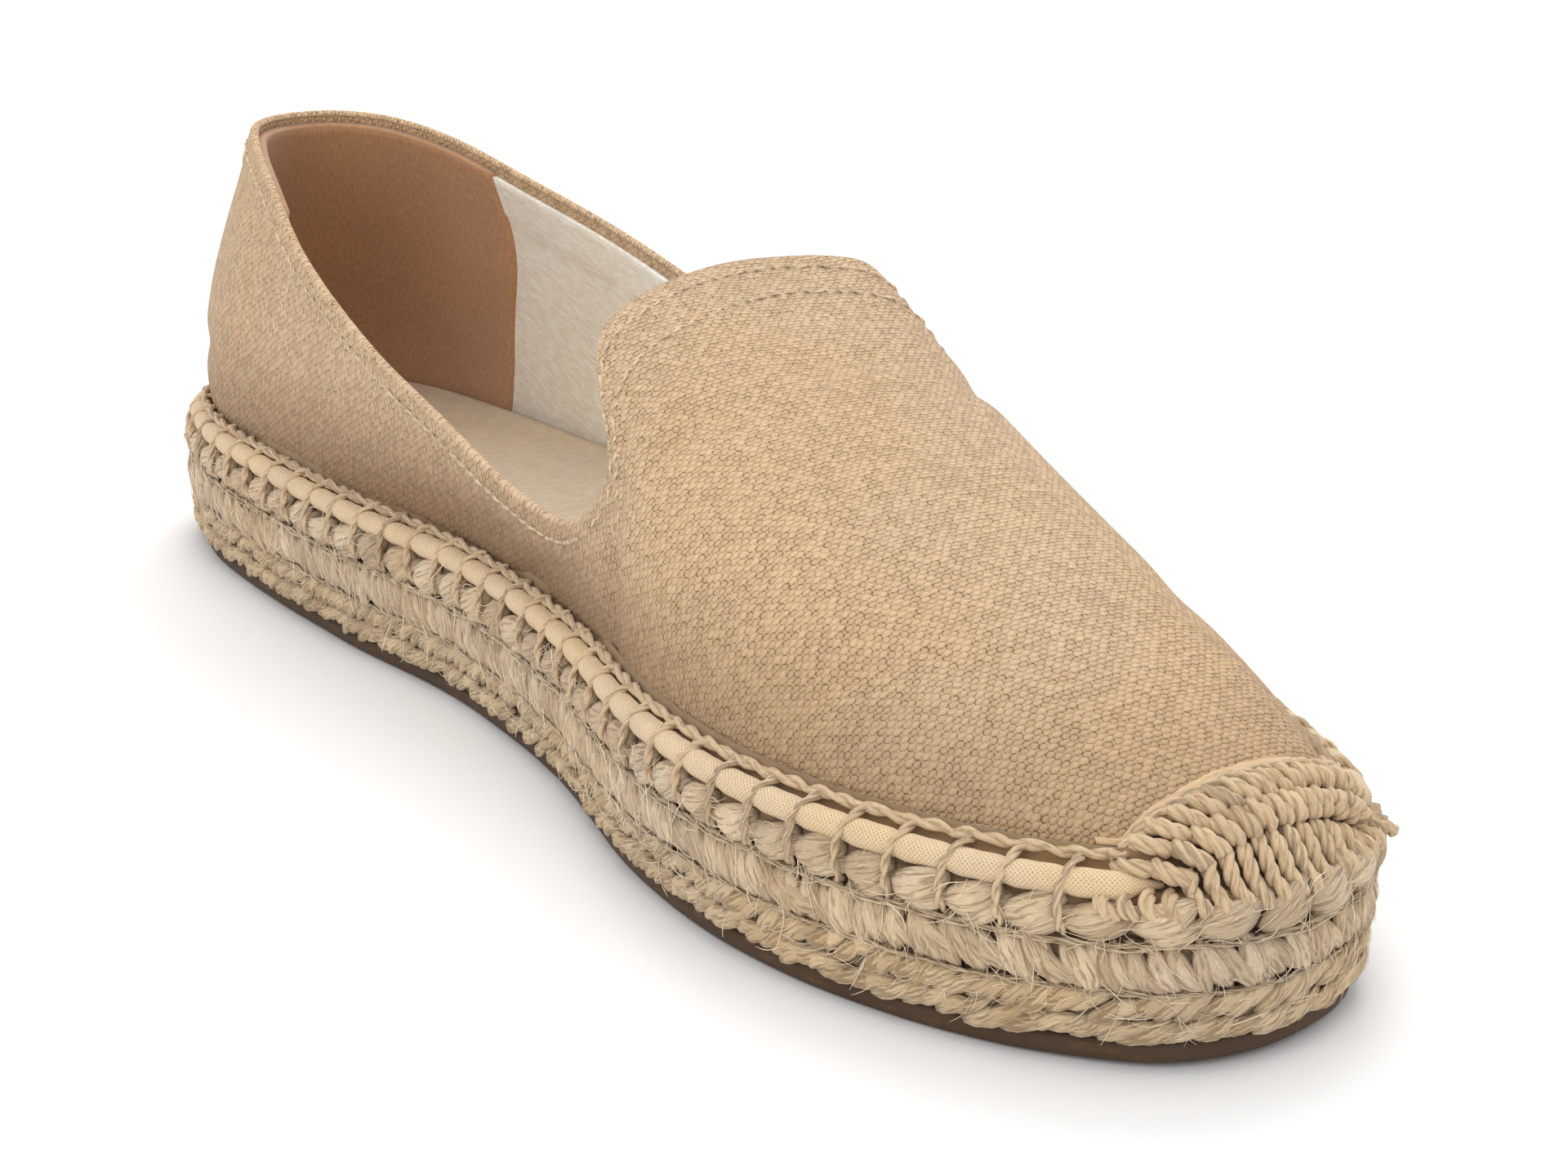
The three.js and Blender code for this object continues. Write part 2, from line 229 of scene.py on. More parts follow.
def read_edge(around):
    """Every column of the EDGE table at round, smoothly between its rows."""
    rows = np.array(EDGE)
    count = len(rows)
    t = np.mod(around, 2.0)
    i = np.clip(np.searchsorted(rows[:, 0], t, side="right") - 1, 0, count - 1)

    def place(k):
        return rows[k % count, 0] + 2.0 * np.floor_divide(k, count)

    def value(k):
        return rows[k % count, 1:]

    def slope(k):
        return (value(k + 1) - value(k - 1)) / (place(k + 1) - place(k - 1))[..., None]

    width = (place(i + 1) - place(i))[..., None]
    s = (t - place(i))[..., None] / width
    return (
        value(i) * (1 + 2 * s) * (1 - s) ** 2
        + slope(i) * width * s * (1 - s) ** 2
        + value(i + 1) * s * s * (3 - 2 * s)
        + slope(i + 1) * width * s * s * (s - 1)
    )


def upper_at(around, height):
    """Outer face of the upper: height 0 at the sole, 1 at the top edge."""
    around, height = np.broadcast_arrays(np.asarray(around, float), np.asarray(height, float))
    row = read_edge(around)
    foot, out = SOLE.at(around, np.full(around.shape, -UPPER_INSET))
    base = np.concatenate([foot, (BASE_Z + spring(foot[..., 1]))[..., None]], axis=-1)
    rise = np.concatenate([out * row[..., 7:8], row[..., 6:7]], axis=-1)
    edge = row[..., 0:3]
    leave = edge + row[..., 3:6]
    h = height[..., None]
    return (
        (1 - h) ** 3 * base
        + 3 * (1 - h) ** 2 * h * (base + rise)
        + 3 * (1 - h) * h**2 * leave
        + h**3 * edge
    )


def upper_normal(around, height):
    step = 0.004
    across = upper_at(around + step, height) - upper_at(around - step, height)
    high = np.minimum(1.0, height + step)
    low = np.maximum(0.0, height - step)
    normal = np.cross(across, upper_at(around, high) - upper_at(around, low))
    return normal / np.linalg.norm(normal, axis=-1, keepdims=True)


def upper_offset(around, height, offset):
    """The upper's face moved out, or in when offset is negative."""
    around, height, offset = np.broadcast_arrays(*(np.asarray(v, float) for v in (around, height, offset)))
    return upper_at(around, height) + upper_normal(around, height) * offset[..., None]


def crease_relief(around, height):
    """Sum of the soft folds, in millimetres out of the face."""
    place = upper_at(around, height)
    total = np.zeros(np.shape(around))
    for mid_round, mid_height, reach, across, turn, depth in CREASES:
        middle = upper_at(mid_round, mid_height)
        level = upper_at(mid_round + 0.01, mid_height) - upper_at(mid_round - 0.01, mid_height)
        level = level / np.linalg.norm(level)
        climb = upper_at(mid_round, mid_height + 0.01) - upper_at(mid_round, mid_height - 0.01)
        climb = climb - level * (climb @ level)
        climb = climb / np.linalg.norm(climb)
        angle = math.radians(turn)
        along = ((place - middle) @ (level * math.cos(angle) + climb * math.sin(angle))) / reach
        aside = ((place - middle) @ (climb * math.cos(angle) - level * math.sin(angle))) / across
        away = ((place - middle) @ np.cross(level, climb)) / 14.0
        bend = aside + 0.35 * along**2
        total += depth * np.exp(-(along**2) - bend**2 - away**2) * (1.0 - 0.5 * bend**2)
    return total


def slow_wave(around, height, seed):
    """Gentle unevenness between -1 and 1, the same on both sides of the heel."""
    rng = np.random.default_rng(seed)
    total = np.zeros(np.broadcast(around, height).shape)
    for turns, lift in ((3, 1.1), (5, 2.3), (8, 1.7), (13, 3.1), (19, 2.2)):
        phase = rng.uniform(0, 2 * math.pi, 2)
        ripple = np.sin(math.pi * turns * around + phase[0])
        total += ripple * np.cos(math.pi * lift * height + phase[1]) / 3.2
    return total


def toe_line_y(x):
    line = np.array(TOE_LINE)
    return np.interp(x, line[:, 0], line[:, 1])


class ToePatch:
    """Lines across the toe at set distances below the line where the thick thread starts."""

    def __init__(self, distances):
        self.around = np.linspace(0.78, 1.22, 261)
        self.heights = np.linspace(0.0, 0.6, 241)
        grid_r, grid_h = np.meshgrid(self.around, self.heights, indexing="ij")
        faces = upper_at(grid_r, grid_h)
        ahead = faces[..., 1] < toe_line_y(faces[..., 0])
        self.top = self.heights[np.clip(ahead.sum(axis=1), 0, len(self.heights) - 1)] * ahead[:, 0]
        on = np.flatnonzero(self.top > 0.0)
        self.first = self.around[on[0]]
        self.last = self.around[on[-1]]
        line = upper_at(self.around[on], self.top[on])
        gap = np.linalg.norm(faces[:, :, None, :] - line[None, None, ::3, :], axis=-1).min(axis=2)
        below = grid_h < self.top[:, None]
        self.lines = []
        for distance in distances:
            far = below & (gap >= distance)
            height = np.where(far.any(axis=1), self.heights[np.maximum(far.sum(axis=1) - 1, 0)], np.nan)
            if distance == 0.0:
                height = np.where(self.top > 0.0, self.top, np.nan)
            keep = np.flatnonzero(~np.isnan(height))
            self.lines.append((self.around[keep], height[keep]))

    def along(self, line, count):
        """Round and height of count evenly spaced places along one of the lines."""
        around, height = self.lines[line]
        run = run_along(upper_at(around, height))
        at = (np.arange(count) + 0.5) / count * run[-1]
        return np.interp(at, run, around), np.interp(at, run, height)

    def length(self, line):
        return run_along(upper_at(*self.lines[line]))[-1]


# ---------------------------------------------------------------------------------------------
# Meshes


def grid_faces(rows, columns, wrap_columns=False, wrap_rows=False, flip=False):
    """Quads between rows of points, each row with the same count."""
    row_index = np.arange(rows if wrap_rows else rows - 1)
    column_index = np.arange(columns if wrap_columns else columns - 1)
    r, c = np.meshgrid(row_index, column_index, indexing="ij")
    r2 = (r + 1) % rows
    c2 = (c + 1) % columns
    quads = np.stack([r * columns + c, r * columns + c2, r2 * columns + c2, r2 * columns + c], axis=-1)
    quads = quads.reshape(-1, 4)
    return quads[:, ::-1] if flip else quads


def add_mesh(name, points, faces, uv=None, shade=None, material=None, loose=False):
    """A smooth mesh from points in millimetres, with one uv and one shade per point.

    A loose one is a shape for copies and is not put in the scene.
    """
    mesh = bpy.data.meshes.new(name)
    place = np.array(points, float).reshape(-1, 3)
    if not loose:
        place = place + (CENTRE_X, 0.0, 0.0)
    mesh.from_pydata((place * MM).tolist(), [], [list(map(int, f)) for f in faces])
    if uv is not None:
        layer = mesh.uv_layers.new(name="UVMap")
        loops = np.zeros(len(mesh.loops), dtype=np.int32)
        mesh.loops.foreach_get("vertex_index", loops)
        layer.data.foreach_set("uv", np.asarray(uv, np.float32).reshape(-1, 2)[loops].ravel())
    if shade is not None:
        attribute = mesh.attributes.new("shade", "FLOAT", "POINT")
        attribute.data.foreach_set("value", np.asarray(shade, np.float32).ravel())
    mesh.polygons.foreach_set("use_smooth", [True] * len(mesh.polygons))
    mesh.update()
    if material is not None:
        mesh.materials.append(material)
    piece = bpy.data.objects.new(name, mesh)
    if not loose:
        bpy.context.scene.collection.objects.link(piece)
    return piece


class Heap:
    """Gathers many small meshes into one."""

    def __init__(self):
        self.points = []
        self.faces = []
        self.uv = []
        self.shade = []
        self.count = 0

    def add(self, points, faces, uv, shade=0.5):
        points = np.asarray(points, float).reshape(-1, 3)
        self.points.append(points)
        self.uv.append(np.asarray(uv, float).reshape(-1, 2))
        self.shade.append(np.full(len(points), shade) if np.isscalar(shade) else shade)
        self.faces.extend([[i + self.count for i in face] for face in np.asarray(faces).tolist()])
        self.count += len(points)

    def add_caps(self, start, rings, sides):
        """Closes the two ends of a tube of rings that starts at point number start."""
        last = start + (rings - 1) * sides
        self.faces.append([start + k for k in range(sides)][::-1])
        self.faces.append([last + k for k in range(sides)])

    def build(self, name, material, loose=False):
        uv = np.concatenate(self.uv)
        shade = np.concatenate(self.shade)
        return add_mesh(name, np.concatenate(self.points), self.faces, uv, shade, material, loose)


def unit(v):
    return v / np.maximum(np.linalg.norm(v, axis=-1, keepdims=True), 1e-9)


def path_frames(path, lean=(0.0, 0.0, 1.0)):
    """Running direction and two square directions along a path, carried along without twist."""
    run = unit(np.gradient(path, axis=0))
    first = np.array(lean, float)
    first = unit(first - run[0] * (first @ run[0]))
    side = [first]
    for k in range(1, len(path)):
        carried = side[-1] - run[k] * (side[-1] @ run[k])
        side.append(unit(carried))
    side = np.array(side)
    return run, side, np.cross(run, side)


def add_tube(heap, path, radius, sides=6, shade=0.5, lean=(0.0, 0.0, 1.0), uv_start=0.0, turn=0.0):
    """One round tube with closed ends along a path."""
    path = np.asarray(path, float)
    _, up, over = path_frames(path, lean)
    run = run_along(path)
    radius = np.broadcast_to(np.asarray(radius, float), (len(path),))
    angle = np.arange(sides) * 2 * math.pi / sides + turn
    wall = np.cos(angle)[:, None] * up[:, None, :] + np.sin(angle)[:, None] * over[:, None, :]
    points = path[:, None, :] + wall * radius[:, None, None]
    u = np.broadcast_to((run + uv_start)[:, None], (len(path), sides))
    v = np.broadcast_to((angle * radius.max())[None, :], (len(path), sides))
    start = heap.count
    heap.add(points, grid_faces(len(path), sides, wrap_columns=True), np.stack([u, v], axis=-1), shade)
    heap.add_caps(start, len(path), sides)


def add_thread(heap, path, radius, plies=2, lay=5.0, sides=6, shade=0.5, phase=0.0, taper=0.0,
               lean=(0.0, 0.0, 1.0), uv_start=0.0):
    """A twisted thread: plies wound round the path, one turn in each lay millimetres."""
    path = np.asarray(path, float)
    _, up, over = path_frames(path, lean)
    run = run_along(path)
    ply = radius * (0.56 if plies == 2 else 0.52)
    reach = radius - ply
    ends = np.minimum(run, run[-1] - run)
    slim = np.ones(len(path)) if taper <= 0 else 0.35 + 0.65 * smooth(ends / taper)
    for k in range(plies):
        angle = phase + 2 * math.pi * (run / lay + k / plies)
        swing = np.cos(angle)[:, None] * up + np.sin(angle)[:, None] * over
        add_tube(heap, path + swing * (reach * slim)[:, None], ply * slim, sides, shade, lean,
                 uv_start + 3.1 * k, phase)


# ---------------------------------------------------------------------------------------------
# Node trees


class Graph:
    """A node tree being filled: an input given as a socket is joined, anything else is set."""

    def __init__(self, tree):
        self.tree = tree

    def add(self, kind, inputs=None, **settings):
        node = self.tree.nodes.new(kind)
        node.location = (190.0 * (len(self.tree.nodes) % 12), -230.0 * (len(self.tree.nodes) // 12))
        for name, value in settings.items():
            setattr(node, name, value)
        for key, value in (inputs or {}).items():
            if isinstance(value, bpy.types.NodeSocket):
                self.tree.links.new(value, node.inputs[key])
            else:
                node.inputs[key].default_value = value
        return node

    def math(self, operation, a, b=0.0, clamped=False):
        return self.add("ShaderNodeMath", {0: a, 1: b}, operation=operation, use_clamp=clamped).outputs[0]

    def vector(self, operation, a, b=(0.0, 0.0, 0.0)):
        return self.add("ShaderNodeVectorMath", {0: a, 1: b}, operation=operation).outputs[0]

    def ramp(self, value, low, high, start=0.0, end=1.0):
        sockets = {"Value": value, 1: low, 2: high, 3: start, 4: end}
        return self.add("ShaderNodeMapRange", sockets, interpolation_type="SMOOTHSTEP").outputs[0]

    def noise(self, vector, scale, detail=2.0, rough=0.5):
        sockets = {"Vector": vector, "Scale": scale, "Detail": detail, "Roughness": rough}
        return self.add("ShaderNodeTexNoise", sockets).outputs["Fac"]

    def mix(self, factor, a, b, blend="MIX"):
        node = self.add("ShaderNodeMix", {0: factor, 6: a, 7: b}, data_type="RGBA", blend_type=blend)
        return node.outputs[2]

    def scaled(self, vector, scale):
        return self.vector("MULTIPLY", vector, scale)

    def grown(self, vector, factor):
        return self.add("ShaderNodeVectorMath", {0: vector, "Scale": factor}, operation="SCALE").outputs[0]

    def parts(self, vector):
        return self.add("ShaderNodeSeparateXYZ", {0: vector}).outputs

    def shade(self):
        return self.add("ShaderNodeAttribute", attribute_name="shade").outputs["Fac"]


def shader_group(name, inputs, outputs):
    """An empty shader group with named sockets: (name, kind, default) and (name, kind)."""
    tree = bpy.data.node_groups.new(name, "ShaderNodeTree")
    for label, kind, default in inputs:
        socket = tree.interface.new_socket(label, in_out="INPUT", socket_type=kind)
        if default is not None:
            socket.default_value = default
    for label, kind in outputs:
        tree.interface.new_socket(label, in_out="OUTPUT", socket_type=kind)
    graph = Graph(tree)
    entry = tree.nodes.new("NodeGroupInput")
    leave = tree.nodes.new("NodeGroupOutput")
    return graph, entry, leave


FLOAT = "NodeSocketFloat"
VECTOR = "NodeSocketVector"
COLOUR = "NodeSocketColor"


def knot_layer(g, place, pitch, shift, reach_u, reach_v, uneven, number):
    """Rounded bumps on a square lattice of twice the yarn pitch; returns height and a value for each bump."""
    lattice = g.scaled(place, (0.5 / pitch, 0.5 / pitch, 0.0))
    lattice = g.vector("ADD", lattice, (shift[0] + 0.5, shift[1] + 0.5, 0.0))
    cell = g.vector("FLOOR", lattice)
    chance = g.add("ShaderNodeTexWhiteNoise", {"Vector": g.vector("ADD", cell, (0.0, 0.0, number))},
                   noise_dimensions="3D")
    inside = g.vector("SUBTRACT", g.vector("SUBTRACT", lattice, cell), (0.5, 0.5, 0.0))
    jitter = g.vector("SUBTRACT", chance.outputs["Color"], (0.5, 0.5, 0.5))
    jitter = g.grown(jitter, uneven)
    inside = g.vector("ADD", inside, jitter)
    spread = {0: chance.outputs["Value"], 1: 0.16, 2: 0.92}
    grown = g.add("ShaderNodeMath", spread, operation="MULTIPLY_ADD").outputs[0]
    stretched = g.scaled(inside, (2.0 * pitch / reach_u, 2.0 * pitch / reach_v, 0.0))
    length = g.add("ShaderNodeVectorMath", {0: stretched}, operation="LENGTH").outputs["Value"]
    length = g.math("DIVIDE", length, grown)
    cap = g.math("SUBTRACT", 1.0, g.math("MULTIPLY", length, length), clamped=True)
    return g.math("POWER", cap, 0.80), chance.outputs["Value"]


def weave_group():
    """Coarse plain weave: fat rounded knots with thin slanting links in the pits between them."""
    g, entry, leave = shader_group(
        "Coarse canvas weave",
        [("Place", VECTOR, None), ("Uneven", FLOAT, 0.12), ("Fuzz", FLOAT, 0.22)],
        [("Height", FLOAT), ("Knot", FLOAT), ("Tone", FLOAT)],
    )
    pitch = WEAVE_PITCH
    place = entry.outputs["Place"]
    drift = g.add("ShaderNodeTexNoise", {"Vector": place, "Scale": 0.09, "Detail": 2.0}).outputs["Color"]
    drift = g.grown(drift, 1.3)
    place = g.vector("ADD", place, drift)
    sway = g.add("ShaderNodeTexNoise", {"Vector": place, "Scale": 0.8, "Detail": 1.0}).outputs["Color"]
    sway = g.grown(sway, 0.32)
    place = g.vector("ADD", place, sway)
    even = entry.outputs["Uneven"]
    first, tone_a = knot_layer(g, place, pitch, (0.0, 0.0), 0.50, 0.66, even, 0.0)
    second, tone_b = knot_layer(g, place, pitch, (0.5, 0.5), 0.50, 0.66, even, 7.0)
    third, _ = knot_layer(g, place, pitch, (0.5, 0.0), 0.62, 0.30, even, 13.0)
    fourth, _ = knot_layer(g, place, pitch, (0.0, 0.5), 0.62, 0.30, even, 19.0)
    knot = g.math("MAXIMUM", first, second)
    link = g.math("MULTIPLY", g.math("MAXIMUM", third, fourth), 0.50)
    height = g.math("MAXIMUM", knot, link)
    which = g.math("GREATER_THAN", first, second)
    tone = g.add("ShaderNodeMix", {0: which, 2: tone_b, 3: tone_a}, data_type="FLOAT").outputs[0]
    parts = g.parts(place)
    slant = g.math("ADD", parts[0], g.math("MULTIPLY", parts[1], 1.6))
    twist = g.math("SINE", g.math("MULTIPLY", slant, 15.0))
    height = g.math("ADD", height, g.math("MULTIPLY", g.math("MULTIPLY", twist, height), 0.09))
    fuzz = g.noise(g.scaled(place, (5.0, 9.0, 0.0)), 1.0, 3.0, 0.6)
    fuzz = g.math("MULTIPLY", g.math("SUBTRACT", fuzz, 0.5), entry.outputs["Fuzz"])
    g.tree.links.new(g.math("ADD", height, fuzz), leave.inputs["Height"])
    g.tree.links.new(knot, leave.inputs["Knot"])
    g.tree.links.new(tone, leave.inputs["Tone"])
    return g.tree


def fibre_group():
    """Fine strands that run along the first direction of a place given in millimetres."""
    g, entry, leave = shader_group(
        "Plant fibre strands",
        [("Place", VECTOR, None), ("Along", FLOAT, 0.35), ("Across", FLOAT, 5.0), ("Wander", FLOAT, 0.6)],
        [("Height", FLOAT), ("Dark", FLOAT), ("Pale", FLOAT)],
    )
    place = entry.outputs["Place"]
    drift = g.add("ShaderNodeTexNoise", {"Vector": place, "Scale": 0.45, "Detail": 2.0}).outputs["Color"]
    drift = g.vector("SUBTRACT", drift, (0.5, 0.5, 0.5))
    place = g.vector("ADD", place, g.grown(drift, entry.outputs["Wander"]))
    stretch = g.add("ShaderNodeCombineXYZ", {0: entry.outputs["Along"], 1: entry.outputs["Across"], 2: 1.0})
    strands = g.noise(g.scaled(place, stretch.outputs[0]), 1.0, 3.0, 0.62)
    single = g.noise(g.scaled(place, g.scaled(stretch.outputs[0], (0.7, 0.45, 1.0))), 1.0, 1.0, 0.5)
    g.tree.links.new(strands, leave.inputs["Height"])
    g.tree.links.new(g.ramp(single, 0.52, 0.34), leave.inputs["Dark"])
    g.tree.links.new(g.ramp(strands, 0.54, 0.70), leave.inputs["Pale"])
    return g.tree


def twill_group():
    """Fine slanting ribs of a cotton tape."""
    g, entry, leave = shader_group(
        "Tape twill",
        [("Place", VECTOR, None), ("Rib", FLOAT, 0.62)],
        [("Height", FLOAT), ("Pit", FLOAT)],
    )
    parts = g.parts(entry.outputs["Place"])
    wobble = g.math("MULTIPLY", g.noise(entry.outputs["Place"], 0.8, 2.0, 0.5), 0.5)
    turn = g.math("DIVIDE", 2.0 * math.pi, entry.outputs["Rib"])
    slant = g.math("ADD", g.math("SUBTRACT", parts[0], parts[1]), wobble)
    rib = g.math("SINE", g.math("MULTIPLY", slant, turn))
    back = g.math("ADD", g.math("MULTIPLY", parts[0], 1.3), parts[1])
    cross = g.math("SINE", g.math("MULTIPLY", back, g.math("MULTIPLY", turn, 0.8)))
    height = g.math("ADD", g.math("MULTIPLY", rib, 0.6), g.math("MULTIPLY", cross, 0.4))
    g.tree.links.new(height, leave.inputs["Height"])
    g.tree.links.new(g.ramp(height, -0.15, -0.75), leave.inputs["Pit"])
    return g.tree


def mottle_group():
    """Slow lightening and darkening of a surface, and a faint change of warmth."""
    g, entry, leave = shader_group(
        "Slow mottling",
        [("Colour", COLOUR, (0.5, 0.4, 0.3, 1.0)), ("Amount", FLOAT, 0.12), ("Grain", FLOAT, 90.0)],
        [("Colour", COLOUR)],
    )
    place = g.add("ShaderNodeTexCoord").outputs["Object"]
    slow = g.noise(place, entry.outputs["Grain"], 3.0, 0.55)
    swing = g.math("MULTIPLY", entry.outputs["Amount"], 2.0)
    level = g.math("ADD", g.math("MULTIPLY", g.math("SUBTRACT", slow, 0.5), swing), 1.0)
    elsewhere = g.vector("ADD", place, (0.31, 0.17, 0.05))
    warm = g.noise(elsewhere, g.math("MULTIPLY", entry.outputs["Grain"], 0.45), 1.0)
    tint = g.add("ShaderNodeCombineXYZ", {0: level, 1: level, 2: level}).outputs[0]
    coloured = g.mix(1.0, entry.outputs["Colour"], tint, "MULTIPLY")
    warmed = g.mix(1.0, coloured, (1.03, 1.0, 0.93, 1.0), "MULTIPLY")
    g.tree.links.new(g.mix(g.ramp(warm, 0.42, 0.60), coloured, warmed), leave.inputs["Colour"])
    return g.tree


GROUPS = {}


def group(name):
    makers = {"weave": weave_group, "fibre": fibre_group, "twill": twill_group, "mottle": mottle_group}
    if name not in GROUPS:
        GROUPS[name] = makers[name]()
    return GROUPS[name]


def use_group(g, name, inputs):
    node = g.add("ShaderNodeGroup", node_tree=group(name))
    for key, value in inputs.items():
        if isinstance(value, bpy.types.NodeSocket):
            g.tree.links.new(value, node.inputs[key])
        else:
            node.inputs[key].default_value = value
    return node.outputs


def rgba(colour):
    return (colour[0], colour[1], colour[2], 1.0)


def tinted(colour, level, warmth=0.0):
    """A colour made lighter or darker, and warmer when warmth is above 0."""
    return rgba((colour[0] * level, colour[1] * level * (1 - 0.5 * warmth), colour[2] * level * (1 - warmth)))


def start_material(name, roughness, sheen=0.0):
    """A material with an empty shader; returns it, its graph and its shader."""
    material = bpy.data.materials.new(name)
    material.use_nodes = True
    tree = material.node_tree
    tree.nodes.clear()
    g = Graph(tree)
    shader = g.add("ShaderNodeBsdfPrincipled", {"Roughness": roughness, "Specular IOR Level": 0.25})
    if sheen:
        shader.inputs["Sheen Weight"].default_value = sheen
        shader.inputs["Sheen Roughness"].default_value = 0.6
    g.add("ShaderNodeOutputMaterial", {"Surface": shader.outputs[0]})
    return material, g, shader


def finish_material(g, shader, colour, height, relief, strength=1.0):
    bump = g.add("ShaderNodeBump", {"Height": height, "Distance": relief * MM, "Strength": strength})
    g.tree.links.new(colour, shader.inputs["Base Color"])
    g.tree.links.new(bump.outputs[0], shader.inputs["Normal"])


def uv_place(g):
    return g.add("ShaderNodeUVMap", uv_map="UVMap").outputs[0]


def canvas_material(colour):
    material, g, shader = start_material("Khaki canvas", 0.94, 0.15)
    place = uv_place(g)
    weave = use_group(g, "weave", {"Place": place})
    # Painted shade: the weave's pits are darkened by their depth, where shade falls between the knots.
    pit_shade = g.ramp(weave["Height"], 0.62, 0.10)
    cloth = g.mix(g.ramp(weave["Tone"], 0.0, 1.0), tinted(colour, 1.03, 0.03), tinted(colour, 1.18, -0.03))
    cloth = g.mix(pit_shade, cloth, tinted(colour, 0.42, 0.22))
    slub = g.noise(g.scaled(place, (0.05, 0.55, 0.0)), 1.0, 2.0, 0.5)
    cloth = g.mix(g.ramp(slub, 0.5, 0.72, 0.0, 0.14), cloth, tinted(colour, 1.16, -0.05))
    cloth = use_group(g, "mottle", {"Colour": cloth, "Amount": 0.10, "Grain": 45.0})["Colour"]
    painted_shade = g.shade()
    # Painted shade: the darker colour that the canvas takes near the sole, where the shade falls.
    low = g.mix(1.0, cloth, (0.40, 0.31, 0.195, 1.0), "MULTIPLY")
    cloth = g.mix(painted_shade, low, cloth)
    finish_material(g, shader, cloth, weave["Height"], 0.42)
    return material


def folded_canvas_material(colour):
    """The smooth turned edge above the toe thread."""
    material, g, shader = start_material("Turned canvas edge", 0.9, 0.15)
    place = uv_place(g)
    strands = use_group(g, "fibre", {"Place": place, "Along": 0.5, "Across": 2.6})
    cloth = g.mix(strands["Dark"], rgba(colour), tinted(colour, 0.78, 0.1))
    cloth = use_group(g, "mottle", {"Colour": cloth, "Amount": 0.12, "Grain": 160.0})["Colour"]
    finish_material(g, shader, cloth, strands["Height"], 0.18)
    return material


def tape_material(colour):
    material, g, shader = start_material("Cream twill tape", 0.86, 0.2)
    place = uv_place(g)
    twill = use_group(g, "twill", {"Place": place})
    strands = use_group(g, "fibre", {"Place": place, "Along": 0.3, "Across": 4.0})
    parts = g.parts(place)
    # The fold's frayed top: smooth cloth without twill ribs, painted lighter as a highlight along the top of
    # the bead.
    frayed_highlight = g.ramp(g.math("ADD", parts[1], g.math("MULTIPLY", strands["Height"], 1.4)), 6.6, 6.0)
    # Painted shade: the flap up behind the cord is darkened, for the shade in the recess between the cord and
    # the bead.
    recess_shade = g.ramp(parts[1], 4.9, 4.0)
    cloth = g.mix(twill["Pit"], rgba(colour), tinted(colour, 0.62, 0.16))
    smooth_cloth = g.mix(strands["Dark"], tinted(colour, 1.06, -0.05), tinted(colour, 0.84, 0.06))
    cloth = g.mix(frayed_highlight, cloth, smooth_cloth)
    cloth = g.mix(recess_shade, cloth, tinted(colour, 0.36, 0.30))
    cloth = use_group(g, "mottle", {"Colour": cloth, "Amount": 0.12, "Grain": 130.0})["Colour"]
    ribs = g.math("MULTIPLY", twill["Height"], g.math("SUBTRACT", 1.0, frayed_highlight))
    height = g.math("ADD", g.math("MULTIPLY", ribs, 0.5), strands["Height"])
    finish_material(g, shader, cloth, height, 0.16)
    return material


def thread_material(name, colour):
    material, g, shader = start_material(name, 0.88, 0.25)
    place = uv_place(g)
    strands = use_group(g, "fibre", {"Place": place, "Along": 0.9, "Across": 4.5, "Wander": 0.5})
    shade = g.shade()
    tone = g.mix(shade, tinted(colour, 0.84, 0.06), tinted(colour, 1.12, -0.05))
    cloth = g.mix(g.math("MULTIPLY", strands["Dark"], 0.6), tone, tinted(colour, 0.55, 0.22))
    cloth = g.mix(g.math("MULTIPLY", strands["Pale"], 0.5), cloth, tinted(colour, 1.25, -0.08))
    finish_material(g, shader, cloth, strands["Height"], 0.28)
    return material


def jute_material(name, colour, across=4.0, relief=0.45):
    material, g, shader = start_material(name, 0.93, 0.2)
    place = uv_place(g)
    strands = use_group(g, "fibre", {"Place": place, "Along": 0.30, "Across": across, "Wander": 1.0})
    shade = g.shade()
    tone = g.mix(shade, tinted(colour, 0.74, 0.16), tinted(colour, 1.16, -0.10))
    fibre = g.mix(g.math("MULTIPLY", strands["Dark"], 0.75), tone, tinted(colour, 0.42, 0.30))
    fibre = g.mix(g.math("MULTIPLY", strands["Pale"], 0.7), fibre, tinted(colour, 1.32, -0.14))
    fibre = use_group(g, "mottle", {"Colour": fibre, "Amount": 0.16, "Grain": 110.0})["Colour"]
    finish_material(g, shader, fibre, strands["Height"], relief)
    return material


def fibre_material(colour):
    material, g, shader = start_material("Loose jute fibre", 0.8, 0.3)
    shade = g.shade()
    tone = g.mix(shade, tinted(colour, 0.62, 0.22), tinted(colour, 1.3, -0.12))
    grain = g.noise(g.add("ShaderNodeTexCoord").outputs["Object"], 900.0, 2.0)
    finish_material(g, shader, tone, grain, 0.05)
    return material


